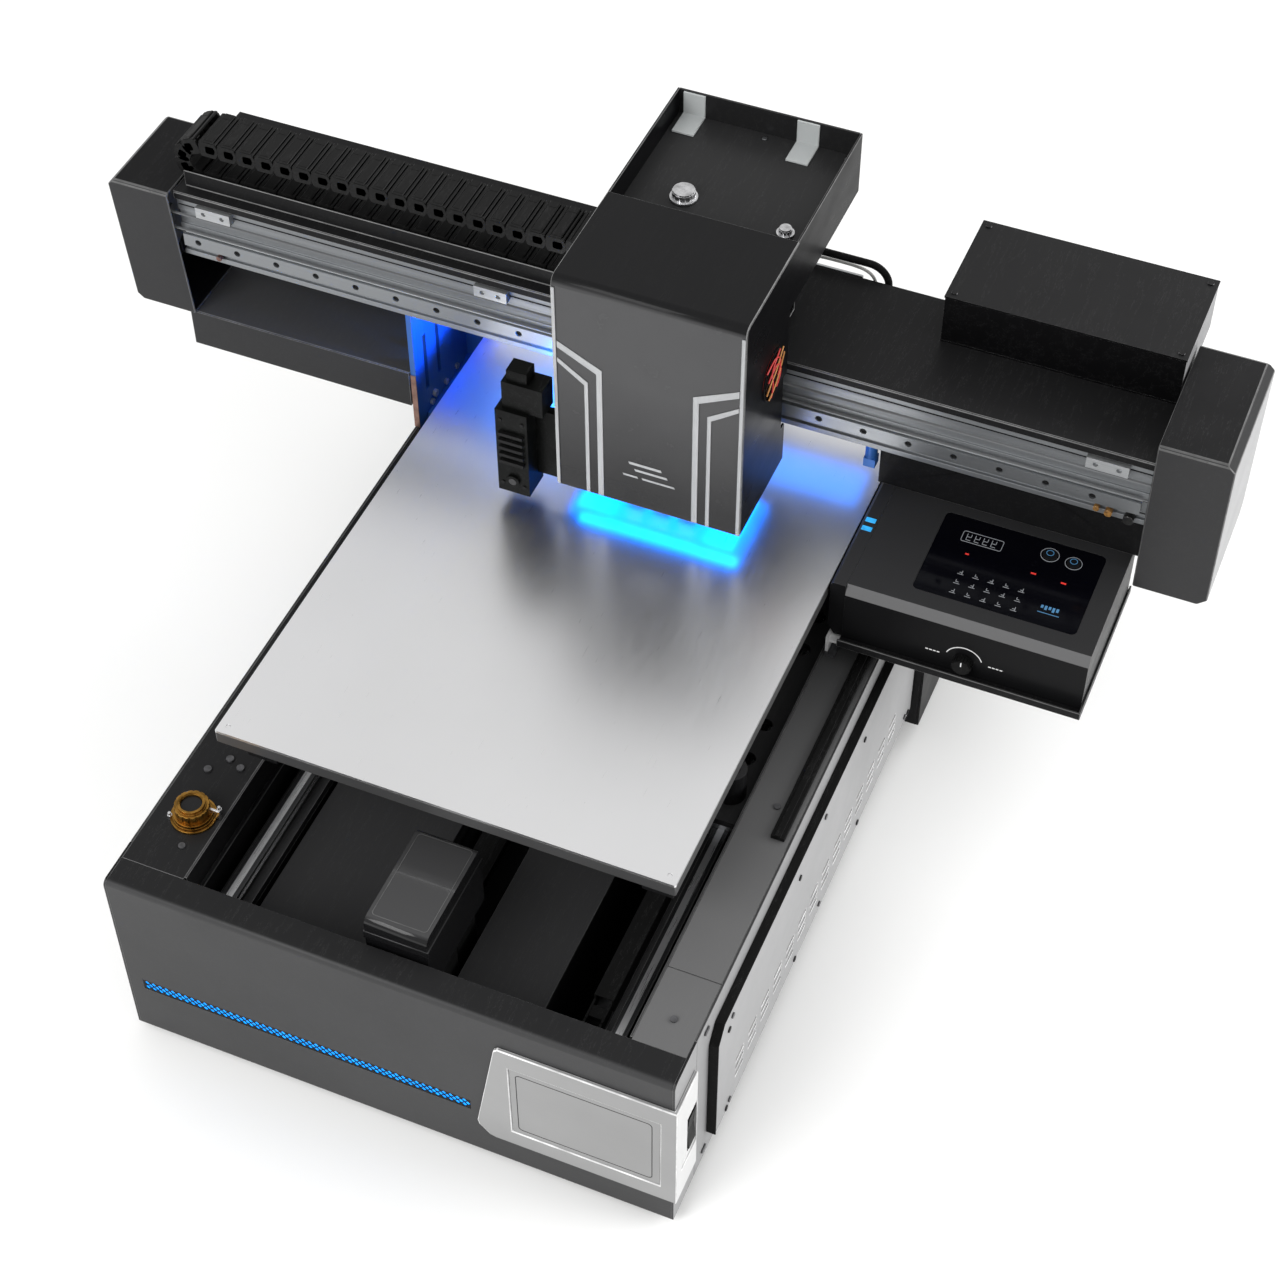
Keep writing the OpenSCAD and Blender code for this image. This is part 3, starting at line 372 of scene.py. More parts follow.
def glossy(name, colour, rough=0.12, specular=0.3, coat=0.25, top=None, chamfer_highlight=None):
    """Piano-black moulding with faint swirl marks and dust; top is painted shade or painted light on
    up-facing faces, and the chamfer colour a painted highlight on half-tilted faces.
    """
    s = Surface(name, rough, specular=specular)
    dust = s.ranged(s.noise(900, 2), 0.7, 0.82, 0.0, 0.1)
    base, cloud = tone(s, colour)
    # painted shade or painted light on up-facing faces
    if top:
        base = painted_up_face_light(s, base, cloud, top)
    # painted highlight on faces tilted half way up, such as a chamfer
    if chamfer_highlight:
        chamfer_mask = s.maths("MULTIPLY", s.ranged(s.facing("Z"), 0.25, 0.35, 0.0, 1.0),
                         s.ranged(s.facing("Z"), 0.55, 0.7, 1.0, 0.0))
        base = s.mix(chamfer_mask, base, chamfer_highlight)
    s.colour(s.mix(dust, base, (0.1, 0.1, 0.1)))
    s.roughness(s.ranged(s.noise(26, 7, (1, 0.4, 1)), 0.3, 0.75, rough - 0.04, rough + 0.06))
    s.bump(s.noise(9, 2), 0.0002, 0.04)
    s.shader.inputs["Coat Weight"].default_value = coat
    s.shader.inputs["Coat Roughness"].default_value = 0.05
    return s.material


def hood_with_painted_light(name):
    """Satin black; the front panel is painted lighter at the top and black at the bottom, as painted light
    falling from above.
    """
    s = Surface(name, 0.26, specular=0.08)
    # painted light: the front grows lighter toward the top
    rise = s.ranged(s.height(), HOOD_LOW.z + 30, HOOD_LOW.z + 210, 0.0, 1.0)
    drift = s.maths("ADD", rise, s.ranged(s.noise(4, 1), 0.3, 0.7, -0.12, 0.12))
    painted_light_fade = s.mix(drift, (0.005, 0.005, 0.0055), (0.05, 0.05, 0.0515))
    front = s.ranged(s.facing("Y"), 0.85, 0.97, 0.0, 1.0)
    base = s.mix(front, (0.008, 0.008, 0.0085), painted_light_fade)
    s.colour(scuffs(s, base, (0.1, 0.1, 0.1), 0.06))
    s.roughness(s.ranged(s.noise(26, 7, (1, 0.4, 1)), 0.3, 0.75, 0.2, 0.3))
    s.bump(s.noise(9, 2), 0.0002, 0.03)
    s.shader.inputs["Coat Weight"].default_value = 0.08
    s.shader.inputs["Coat Roughness"].default_value = 0.06
    return s.material


def end_fittings(name):
    """Silver stop blocks; the little fittings below the rail's ends are brass, black and dark copper."""
    s = Surface(name, 0.36)
    across = s.across()
    low = s.ranged(s.height(), 534, 536, 1.0, 0.0)
    streak = s.noise(900, 4, (0.02, 1, 1))
    silver = s.mix(s.ranged(streak, 0.3, 0.7, 0.0, 1.0), (0.36, 0.37, 0.38), (0.46, 0.47, 0.48))
    stain = s.ranged(s.noise(160, 4), 0.4, 0.65, 0.0, 1.0)
    brass = s.mix(stain, (0.4, 0.2, 0.05), (0.12, 0.06, 0.02))
    copper = s.mix(stain, (0.16, 0.07, 0.05), (0.05, 0.03, 0.03))
    black = s.mix(stain, (0.008, 0.008, 0.008), (0.02, 0.02, 0.02))
    right = s.ranged(across, 0.0, 1.0, 0.0, 1.0)
    knob = s.ranged(across, 618.0, 619.0, 0.0, 1.0)
    fitting = s.mix(right, copper, s.mix(knob, brass, black))
    s.colour(s.mix(low, silver, fitting))
    s.link(s.ranged(low, 0.0, 1.0, 0.8, 0.35), s.shader.inputs["Metallic"])
    s.roughness(s.ranged(streak, 0.25, 0.75, 0.28, 0.44))
    s.bump(streak, 0.00003, 0.5)
    return s.material


def lit(name, colour, strength, base=None):
    """A glowing surface: brighter and darker along its length; on the fan wires and impeller this glow is
    painted light.
    """
    s = Surface(name, 0.35)
    wave = s.ranged(s.noise(26, 3), 0.3, 0.7, 0.75, 1.2)
    s.colour(base or shade(colour, 0.6))
    s.shader.inputs["Emission Color"].default_value = (*colour, 1.0)
    s.link(s.maths("MULTIPLY", wave, strength), s.shader.inputs["Emission Strength"])
    return s.material


def strip_glow(name):
    """The light strips: deep azure in the front strip, paler in the bars on the control unit."""
    s = Surface(name, 0.35)
    upper = s.ranged(s.height(), BASE_HIGH.z + 10, BASE_HIGH.z + 20, 0.0, 1.0)
    tint = s.mix(upper, (0.005, 0.27, 0.9), (0.02, 0.2, 0.4))
    s.link(tint, s.shader.inputs["Emission Color"])
    wave = s.ranged(s.noise(90, 3), 0.3, 0.7, 1.2, 2.2)
    s.link(wave, s.shader.inputs["Emission Strength"])
    s.colour((0.0, 0.1, 0.3))
    return s.material


def turned(name, colour, rough=0.25, dark=0.35):
    """Turned brass or plated metal, stained in its grooves."""
    s = Surface(name, rough, metal=1.0)
    stain = s.ranged(s.noise(70, 5), 0.42, 0.68, 0.0, 0.8)
    s.colour(s.mix(stain, colour, shade(colour, dark)))
    s.roughness(s.ranged(s.noise(180, 4), 0.3, 0.7, rough - 0.08, rough + 0.2))
    s.bump(s.noise(500, 3, (1, 1, 6)), 0.00005, 0.5)
    return s.material


def acrylic(name):
    s = Surface(name, 0.1)
    s.colour((0.75, 0.78, 0.78))
    s.shader.inputs["Alpha"].default_value = 0.45
    s.roughness(s.ranged(s.noise(60, 5), 0.4, 0.8, 0.06, 0.2))
    s.bump(s.noise(300, 3), 0.00003, 0.3)
    return s.material


# In the coats and glosses below, the top colours are painted shade or painted light on up-facing faces, the
# side colours a painted pale reflection on faces along X, and the control unit's last colour a painted
# highlight on its chamfer.
CHARCOAL = powder_coat("charcoal_coat", (0.036, 0.036, 0.037), 0.42, (0.32, 0.32, 0.325), 0.08,
                       (0.007, 0.007, 0.0075))
TRAY_COAT = powder_coat("drip_tray_coat", (0.036, 0.036, 0.037), 0.42, top=(0.06, 0.06, 0.061))
FASCIA = powder_coat("fascia_coat", (0.048, 0.048, 0.049), 0.34, (0.29, 0.29, 0.294), 0.1,
                     (0.014, 0.014, 0.0145))
PANEL = powder_coat("panel_coat", (0.03, 0.03, 0.031), 0.42, side=(0.29, 0.29, 0.294))
DECK_PAINTED_SHADE = deck_with_painted_shade("deck_painted_shade")
DARK = powder_coat("dark_coat", (0.009, 0.009, 0.0095), 0.42, specular=0.08)
BOX_COAT = powder_coat("box_coat", (0.011, 0.011, 0.0115), 0.4, specular=0.07, top=(0.012, 0.012, 0.0125))
CASE_COAT = powder_coat("case_coat", (0.003, 0.003, 0.0033), 0.45, (0.25, 0.25, 0.255), 0.05,
                        (0.017, 0.017, 0.0175))
INSIDE = powder_coat("inside_coat", (0.008, 0.008, 0.0085), 0.4, specular=0.08, top=(0.04, 0.04, 0.041))
# the side covers' pale grey is a painted reflection of the bright floor on these semi-gloss side faces
PALE = powder_coat("pale_side_painted_reflection", (0.29, 0.29, 0.294), 0.45, specular=0.35)
BEZEL = moulded("bezel_shell", (0.3, 0.3, 0.3), 0.5, side=(0.62, 0.62, 0.62))
SCREEN = moulded("screen_face", (0.27, 0.27, 0.27), 0.34, 2000, 0.00002)
PLASTIC = moulded("black_moulding", (0.006, 0.006, 0.006), 0.42, specular=0.07)
CHAIN = moulded("chain_moulding", (0.007, 0.007, 0.007), 0.38, 900, 0.00008, 0.12)
RUBBER = moulded("black_rubber", (0.008, 0.008, 0.008), 0.7, 700, 0.0001, 0.08)
BELT = moulded("belt_polyurethane", (0.16, 0.165, 0.17), 0.5, 500, 0.0001)
GLOSS = glossy("black_gloss", (0.006, 0.006, 0.0065), 0.14, 0.2, 0.2, (0.045, 0.045, 0.046))
SATIN = glossy("black_satin", (0.009, 0.009, 0.0095), 0.24, 0.15, 0.12)
HOOD = glossy("side_satin", (0.004, 0.004, 0.0045), 0.3, 0.03, 0.0)
TRAY = powder_coat("tray_satin", (0.014, 0.014, 0.0145), 0.34, (0.24, 0.24, 0.242), 0.1,
                   (0.024, 0.024, 0.0245))
HOOD_FRONT = hood_with_painted_light("hood_front_satin")
UNIT = glossy("control_unit_satin", (0.007, 0.007, 0.0075), 0.36, 0.07, 0.02, (0.03, 0.03, 0.031),
              (0.13, 0.13, 0.132))
GLASS = glossy("panel_glass", (0.0015, 0.0015, 0.003), 0.12, 0.16, 0.0)
BED_TOP = platen_metal("bed_plate")
ALUMINIUM = brushed("beam_aluminium", (0.24, 0.25, 0.26), 0.4, metal=0.7)
BLOCK = brushed("block_aluminium", (0.42, 0.43, 0.44), 0.36, metal=0.8)
RAIL_X = brushed("cross_rail_steel", (0.25, 0.26, 0.27), 0.34, metal=0.8)
RAIL_Y = bed_rail("bed_rail_steel")
DECK_PARTS = small_parts("deck_hardware")
# the brackets' blue is painted light: the lamps' blue spill coloured into the steel
BRACKET = brushed("bracket_steel_painted_blue_light", (0.03, 0.13, 0.42), 0.42, along="Z", metal=0.3)
FITTINGS = end_fittings("rail_end_metal")
STEEL = brushed("small_steel", (0.5, 0.51, 0.53), 0.3, along="Z", fine=400)
HEAD_STEEL = brushed("nozzle_steel", (0.2, 0.2, 0.21), 0.3, along="Y")
TRIM = brushed("silver_trim", (0.3, 0.305, 0.31), 0.42, along="Z", metal=0.6)
CHROME = turned("cap_chrome", (0.72, 0.72, 0.73), 0.2)
BRASS = turned("collar_brass", (0.36, 0.19, 0.04), 0.3, 0.2)
COPPER = turned("bracket_edge_copper", (0.36, 0.22, 0.18), 0.4, 0.5)
CYAN = strip_glow("strip_glow")
LAMP = lit("lamp_glow", (0.0, 0.2, 1.0), 1.9)
WHITE_MARK = lit("white_marks", (0.7, 0.78, 0.9), 0.14, (0.2, 0.2, 0.2))
SCALE_MARK = lit("scale_marks", (0.9, 0.9, 0.9), 0.35, (0.5, 0.5, 0.5))
RED_MARK = lit("red_marks", (1.0, 0.05, 0.03), 0.5, (0.3, 0.02, 0.02))
BLUE_MARK = lit("blue_marks", (0.1, 0.4, 0.8), 0.3, (0.05, 0.12, 0.2))
# the fan wires and impeller glow as painted light, though they are no lamps
ORANGE = lit("fan_wire_red", (1.0, 0.06, 0.04), 0.1, (0.42, 0.03, 0.03))
AMBER = lit("fan_wire_amber", (1.0, 0.4, 0.08), 0.08, (0.4, 0.18, 0.05))
SENSOR = moulded("sensor_moulding", (0.003, 0.0033, 0.003), 0.45, specular=0.05)
CLEAR = acrylic("clear_acrylic")
CREAM = moulded("pale_hose", (0.62, 0.62, 0.6), 0.35)
EDGE_DARK = worn_and_highlit_edge("rubbed_highlit_dark_edge", (0.06, 0.06, 0.06), 0.3)
EDGE_GREY = worn_and_highlit_edge("rubbed_highlit_grey_edge", (0.11, 0.11, 0.11), 0.28)
EDGE_PALE = worn_and_highlit_edge("rubbed_highlit_pale_edge", (0.5, 0.5, 0.5), 0.35)
EDGE_METAL = worn_and_highlit_edge("polished_highlit_edge", (0.55, 0.55, 0.56), 0.24, 0.8)

LOOKS = {
    "feet": RUBBER, "base_panels": PANEL, "front_fascia": FASCIA, "base_fittings": PLASTIC,
    "glow_strips": CYAN, "led_mesh": DARK, "display_bezel": BEZEL, "display_screen": SCREEN,
    "power_rocker": PLASTIC, "decks": DECK_PAINTED_SHADE, "well_walls": INSIDE, "brass_collar": BRASS,
    "deck_button": SATIN, "side_covers": PALE, "column_cover": DARK, "base_hardware": DECK_PARTS,
    "rail_beds": INSIDE, "bed_rails": RAIL_Y, "bed_drive": RUBBER, "motor_cover": GLOSS,
    "bed_blocks": STEEL, "slide_frame": INSIDE, "lift_frame": INSIDE, "platen": BED_TOP,
    "gantry_brackets": BRACKET, "beam_profile": ALUMINIUM, "x_rail": RAIL_X, "x_belt": BELT,
    "drive_pulley": BLOCK, "idler_pulley": BLOCK, "stop_blocks": FITTINGS, "beam_cover": BOX_COAT,
    "end_cover_left": CHARCOAL, "end_cover_right": CHARCOAL, "drip_tray": TRAY_COAT,
    "electronics_box": CASE_COAT, "cable_loop": RUBBER, "carriage_plate": BLOCK,
    "carriage_sides": HOOD, "carriage_hood": HOOD_FRONT, "hood_trim": TRIM, "rear_tray": TRAY,
    "clear_brackets": CLEAR, "tray_cap_large": CHROME, "tray_cap_small": CHROME,
    "fan_guard": PLASTIC, "fan_impeller": ORANGE, "print_heads": HEAD_STEEL, "uv_lamps": LAMP,
    "height_sensor": SENSOR, "control_body": UNIT, "control_tray": DARK,
    "control_glass": GLASS, "panel_button_a": SATIN, "panel_button_b": SATIN,
    "control_knob": PLASTIC,
}
# how wide each part's edges are rounded, in metres, and the lighter material the rounding gets: painted
# highlight and rubbed wear
ROUNDING = {
    "front_fascia": (0.0012, EDGE_GREY), "end_cover_left": (0.0015, EDGE_DARK),
    "end_cover_right": (0.0015, EDGE_DARK), "motor_cover": (0.0025, EDGE_DARK),
    "electronics_box": (0.0011, EDGE_GREY), "control_body": (0.0022, EDGE_DARK),
    "platen": (0.0008, EDGE_METAL), "carriage_sides": (0.0009, EDGE_DARK),
    "carriage_hood": (0.0012, EDGE_GREY), "rear_tray": (0.0009, EDGE_DARK),
    "height_sensor": (0.0018, None), "display_bezel": (0.002, EDGE_PALE),
    "drip_tray": (0.0009, EDGE_GREY), "led_mesh": (0.0002, None),
    "power_rocker": (0.001, None), "side_covers": (0.0008, EDGE_PALE), "feet": (0.002, None),
    "control_tray": (0.0009, EDGE_DARK), "beam_cover": (0.0009, EDGE_GREY),
    "decks": (0.0006, EDGE_DARK), "well_walls": (0.0006, EDGE_DARK),
    "rail_beds": (0.0006, EDGE_DARK), "stop_blocks": (0.0006, EDGE_METAL),
    "bed_rails": (0.0005, EDGE_DARK), "base_panels": (0.0008, EDGE_DARK),
}


def rounded(obj, width=0.0006, edge=None):
    weld = obj.modifiers.new("weld", "WELD")
    weld.merge_threshold = 0.00002
    bevel = obj.modifiers.new("rounding", "BEVEL")
    bevel.width = width
    bevel.segments = 2
    bevel.limit_method = "ANGLE"
    bevel.angle_limit = math.radians(34)
    bevel.harden_normals = True
    bevel.use_clamp_overlap = True
    if edge:
        obj.data.materials.append(edge)
        bevel.material = len(obj.data.materials) - 1
    return obj


for name, material in LOOKS.items():
    node = nodes[name]
    node.data.materials.clear()
    node.data.materials.append(material)
    width, edge = ROUNDING.get(name, (0.0006, None))
    rounded(node, width, edge)

# ---------------------------------------------------------------- mesh helpers


def box(mesh, x0, x1, y0, y1, z0, z1):
    corners = [mesh.verts.new(at(x, y, z)) for x in (x0, x1) for y in (y0, y1) for z in (z0, z1)]
    for face in ((0, 1, 3, 2), (4, 6, 7, 5), (0, 4, 5, 1), (2, 3, 7, 6), (0, 2, 6, 4), (1, 5, 7, 3)):
        mesh.faces.new([corners[i] for i in face])


def corner(axis, a, b, c):
    """The place with c along the axis and (a, b) across the two others."""
    return {"X": at(c, a, b), "Y": at(a, c, b), "Z": at(a, b, c)}[axis]


def close_prism(mesh, near_places, far_places):
    """A solid between two outlines with the same number of points."""
    near = [mesh.verts.new(place) for place in near_places]
    far = [mesh.verts.new(place) for place in far_places]
    mesh.faces.new(near)
    mesh.faces.new(list(reversed(far)))
    for i in range(len(near)):
        j = (i + 1) % len(near)
        mesh.faces.new((near[j], near[i], far[i], far[j]))


def prism(mesh, outline, axis, low, high):
    """An outline of (a, b) points drawn across the two other axes and run along axis."""
    close_prism(mesh, [corner(axis, a, b, low) for a, b in outline],
                [corner(axis, a, b, high) for a, b in outline])


def circle(a, b, radius, count=20, start=0.0, turn=2 * math.pi):
    steps = count if turn >= 2 * math.pi else count + 1
    return [(a + radius * math.cos(start + turn * i / count),
             b + radius * math.sin(start + turn * i / count)) for i in range(steps)]


def rod(mesh, axis, low, high, a, b, radius, count=20):
    prism(mesh, circle(a, b, radius, count), axis, low, high)


def rounded_outline(a0, a1, b0, b1, radius, count=5):
    points = []
    for a, b, start in ((a1 - radius, b1 - radius, 0), (a0 + radius, b1 - radius, 1),
                        (a0 + radius, b0 + radius, 2), (a1 - radius, b0 + radius, 3)):
        for i in range(count + 1):
            angle = math.pi / 2 * (start + i / count)
            points.append((a + radius * math.cos(angle), b + radius * math.sin(angle)))
    return points


def band(mesh, outer, inner, axis, low, high):
    """A closed ring between two outlines with the same number of points."""
    rings = [[mesh.verts.new(corner(axis, a, b, c)) for a, b in line]
             for line, c in ((outer, low), (inner, low), (inner, high), (outer, high))]
    for k in range(4):
        one, two = rings[k], rings[(k + 1) % 4]
        for i in range(len(outer)):
            j = (i + 1) % len(outer)
            mesh.faces.new((one[i], one[j], two[j], two[i]))


def piece(name, mesh, material, body, bevel=0.0003):
    bmesh.ops.recalc_face_normals(mesh, faces=mesh.faces)
    data = bpy.data.meshes.new(name)
    mesh.to_mesh(data)
    mesh.free()
    data.materials.append(material)
    obj = bpy.data.objects.new(name, data)
    scene.collection.objects.link(obj)
    if bevel:
        rounded(obj, bevel)
    if body:
        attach(obj, body)
    return obj


def tube(name, points, radius, material, body, smooth=True):
    curve = bpy.data.curves.new(name, "CURVE")
    curve.dimensions = "3D"
    curve.bevel_depth = radius / 1000
    curve.bevel_resolution = 4
    curve.use_fill_caps = True
    line = curve.splines.new("NURBS" if smooth else "POLY")
    line.points.add(len(points) - 1)
    for point, place in zip(line.points, points):
        point.co = (*at(*place), 1.0)
    if smooth:
        line.use_endpoint_u = True
        line.order_u = 4
        curve.resolution_u = 8
    curve.materials.append(material)
    obj = bpy.data.objects.new(name, curve)
    scene.collection.objects.link(obj)
    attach(obj, body)
    return obj


# ---------------------------------------------------------------- cable chain
LINK = 28.0
CHAIN_Y0, CHAIN_Y1 = CHAIN_LOW.y, CHAIN_HIGH.y
CHAIN_TALL = CHAIN_HIGH.z - CHAIN_LOW.z


def link_shape(mesh, place, length):
    """One link: two waisted side plates, a wide ribbed lid, a floor bar and a divider."""
    def solid(outline, y0, y1):
        close_prism(mesh, [place(a, y0, b) for a, b in outline], [place(a, y1, b) for a, b in outline])

    tall = CHAIN_TALL
    half = length / 2
    side = [(-half, 6), (-half + 3, 1), (half - 4, 1), (half - 0.5, 6), (half + 1.5, tall / 2),
            (half - 0.5, tall - 6), (half - 3, tall - 1.6), (-half + 3, tall - 1.6), (-half, tall - 6)]
    for y0, y1 in ((CHAIN_Y0, CHAIN_Y0 + 3.4), (CHAIN_Y1 - 3.4, CHAIN_Y1)):
        solid(side, y0, y1)
    boss = [(x * 0.5 + 3, tall / 2 + (z - tall / 2) * 0.5) for x, z in side]
    solid(boss, CHAIN_Y0, CHAIN_Y0 + 0.4)
    for low, high, drop in ((-half + 0.6, -half + 5.6, 1.4), (-half + 6.6, half - 5.6, 0.0),
                            (half - 4.6, half - 0.6, 1.2)):
        top_line = tall - 0.3 - drop
        solid([(low, tall - 4), (low, top_line - 0.7), (low + 0.9, top_line), (high - 0.9, top_line),
               (high, top_line - 0.7), (high, tall - 4)], CHAIN_Y0 + 0.5, CHAIN_Y1 - 0.5)
    for y in (CHAIN_Y0 + 4, CHAIN_Y1 - 12):
        solid([(-half + 8, tall - 0.4), (-half + 8, tall), (half - 7.4, tall), (half - 7.4, tall - 0.4)],
              y, y + 8)
    floor = [(-half + 4, 0.5), (half - 6, 0.5), (half - 6, 3.4), (-half + 4, 3.4)]
    solid(floor, CHAIN_Y0 + 1.2, CHAIN_Y1 - 1.2)
    solid([(-2, 3), (3, 3), (3, tall - 3.5), (-2, tall - 3.5)], 899.6, 902.2)


def straight_links(mesh, start, count, height):
    for i in range(count):
        middle = start + (i + 0.5) * LINK
        link_shape(mesh, lambda x, y, z, m=middle: at(m + x, y, height + z), LINK - 0.8)


run_links = int((CHAIN_HIGH.x - CHAIN_LOW.x + 2) / LINK)
upper_mesh = bmesh.new()
straight_links(upper_mesh, CHAIN_LOW.x, run_links, CHAIN_LOW.z)
chain_run = piece("chain_run", upper_mesh, CHAIN, None, 0)
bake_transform(chain_run)
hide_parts("chain_upper")

lower_mesh = bmesh.new()
bend_x = CHAIN_LOW.x - 3
bend_z = (BEND_LOW.z + CHAIN_HIGH.z) / 2
straight_links(lower_mesh, CHAIN_LOW.x, int((BEND_HIGH.x - CHAIN_LOW.x) / LINK), BEND_LOW.z)
bend_radius = (CHAIN_HIGH.z - BEND_LOW.z) / 2 - CHAIN_TALL / 2
bend_links = 4
for i in range(bend_links):
    angle = math.pi / 2 + math.pi * (i + 0.5) / bend_links

    def on_bend(x, y, z, a=angle):
        # the link's own height runs outwards from the bend's centre
        out = bend_radius - CHAIN_TALL / 2 + z
        px = bend_x + out * math.cos(a) - x * math.sin(a)
        pz = bend_z + out * math.sin(a) + x * math.cos(a)
        return at(px, y, pz)
    link_shape(lower_mesh, on_bend, 24)
chain_base = piece("chain_base", lower_mesh, CHAIN, "base", 0)
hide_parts("chain_lower")

# ---------------------------------------------------------------- base details
mesh = bmesh.new()
for side in (1, -1):
    x0 = side * (BASE_HIGH.x + 0.4)
    x1 = side * (COVER_HIGH.x + 0.6)
    low, high = min(x0, x1), max(x0, x1)
    y0 = COVER_LOW.y
    box(mesh, low, high, y0 - 1.6, y0 + 0.4, COVER_LOW.z, 240)
    prism(mesh, [(y0 - 1.6, 240), (y0 + 17, 263.6), (y0 + 18, 262.2), (y0 + 0.4, 240)],
          "X", low, high)
    box(mesh, low, high, y0 + 17, 845, 262.2, 264)
piece("side_edging", mesh, RUBBER, "base", 0.0002)

mesh = bmesh.new()
face_x = COVER_HIGH.x + 0.2
for side in (1, -1):
    for y in (140, 380, 620, 830):
        for z in (54, 230):
            low, high = sorted((side * face_x, side * (face_x + 1.6)))
            rod(mesh, "X", low, high, y, z, 4.2, 12)
piece("side_screws", mesh, INSIDE, "base", 0.0003)

mesh = bmesh.new()
for side in (1, -1):
    low, high = sorted((side * (BASE_HIGH.x + 4), side * (BASE_HIGH.x + 7)))
    for y0, y1 in ((COVER_LOW.y + 40, 838), (1080, COVER_HIGH.y - 20)):
        box(mesh, low, high, y0, y1, 70, 128)
piece("vent_backing", mesh, INSIDE, "base", 0)

# thin inner line on the display
mesh = bmesh.new()
band(mesh, rounded_outline(SCREEN_LOW.x + 8, SCREEN_HIGH.x - 10, SCREEN_LOW.z + 8, SCREEN_HIGH.z - 9, 6),
     rounded_outline(SCREEN_LOW.x + 8.8, SCREEN_HIGH.x - 10.8, SCREEN_LOW.z + 8.8, SCREEN_HIGH.z - 9.8, 5.4),
     "Y", SCREEN_LOW.y - 0.25, SCREEN_LOW.y + 0.3)
piece("screen_line", mesh, PLASTIC, "base", 0)

# studs and clip round the brass collar
collar_x = (COLLAR_LOW.x + COLLAR_HIGH.x) / 2
collar_y = (COLLAR_LOW.y + COLLAR_HIGH.y) / 2
mesh = bmesh.new()
for x, y, r in ((collar_x + 27, collar_y + 17, 3.5), (collar_x - 25, collar_y - 14, 3.5),
                (collar_x + 31, collar_y + 9, 2.5), (collar_x - 20, collar_y + 22, 3)):
    rod(mesh, "Z", BASE_HIGH.z + 0.2, BASE_HIGH.z + 8, x, y, r, 6)
    rod(mesh, "Z", BASE_HIGH.z + 8, BASE_HIGH.z + 12, x, y, r * 0.6, 12)
box(mesh, collar_x + 16, collar_x + 34, collar_y + 6, collar_y + 9, BASE_HIGH.z + 0.2, BASE_HIGH.z + 17)
piece("collar_studs", mesh, CHROME, "base", 0.0003)
mesh = bmesh.new()
for low, high, r_out, r_in in ((26.6, 28.4, 17.4, 14.2), (24.2, 25.4, 19, 15), (8.2, 9.8, 24.5, 17.5),
                               (5.0, 6.6, 26.2, 17.5)):
    band(mesh, circle(collar_x, collar_y, r_out, 32), circle(collar_x, collar_y, r_in, 32), "Z",
         BASE_HIGH.z + low, BASE_HIGH.z + high)
piece("collar_rings", mesh, BRASS, "base", 0.0003)

# closing lines and a fine groove on the motor's cover
mesh = bmesh.new()
mx0, mx1, my0, my1 = MOTOR_LOW.x + 6, MOTOR_HIGH.x - 6, MOTOR_LOW.y + 12, MOTOR_HIGH.y - 10
band(mesh, rounded_outline(mx0, mx1, my0, my1, 5), rounded_outline(mx0 + 1, mx1 - 1, my0 + 1, my1 - 1, 4.4),
     "Z", MOTOR_HIGH.z - 0.6, MOTOR_HIGH.z + 0.25)
piece("motor_cover_line", mesh, EDGE_DARK, "base", 0)

# ---------------------------------------------------------------- bed details
mesh = bmesh.new()
for x in (BED_LOW.x + 12, BED_HIGH.x - 12):
    for y in (BED_LOW.y + 12, BED_HIGH.y - 12):
        rod(mesh, "Z", BED_HIGH.z - 2.6, BED_HIGH.z - 0.7, x, y, 2.7, 12)
piece("bed_corner_screws", mesh, BED_TOP, "bed_lift", 0.0002)

# ---------------------------------------------------------------- gantry details
RAIL_BOLT_PITCH = 60
rail_mid = (RAIL_LOW.z + RAIL_HIGH.z) / 2
mesh = bmesh.new()
x = BEAM_LOW.x + 30
while x < BEAM_HIGH.x - 20:
    rod(mesh, "Y", RAIL_LOW.y + 2.2, RAIL_LOW.y + 5.2, x, rail_mid, 4.3, 12)
    x += RAIL_BOLT_PITCH
piece("rail_bolts", mesh, DARK, "base", 0.0002)

mesh = bmesh.new()
for z, tall in ((BEAM_HIGH.z - 24, 1.6), (BEAM_LOW.z + 40, 1.2), (BEAM_LOW.z + 19, 1.4)):
    box(mesh, BEAM_LOW.x + 2, BEAM_HIGH.x - 2, BEAM_LOW.y - 0.5, BEAM_LOW.y + 0.3, z, z + tall)
piece("beam_grooves", mesh, DARK, "base", 0)

# copper-coloured edge and fasteners of the left bracket
BRACKET_LOW = span("gantry_brackets")[0]
mesh = bmesh.new()
box(mesh, -BASE_HIGH.x - 0.2, -BASE_HIGH.x + 8.2, BRACKET_LOW.y - 1.2, BRACKET_LOW.y - 0.1,
    BRACKET_LOW.z + 1, 399)
piece("bracket_edge", mesh, COPPER, "base", 0.0003)
bracket_face = -BASE_HIGH.x + 8
mesh = bmesh.new()
for z in (328, 476):
    rod(mesh, "X", bracket_face, bracket_face + 5, 905, z, 6, 6)
for y in (895, 940, 975):
    for z in (490, 320):
        rod(mesh, "X", bracket_face, bracket_face + 4, y, z, 5, 6)
piece("bracket_nuts", mesh, STEEL, "base", 0.0003)

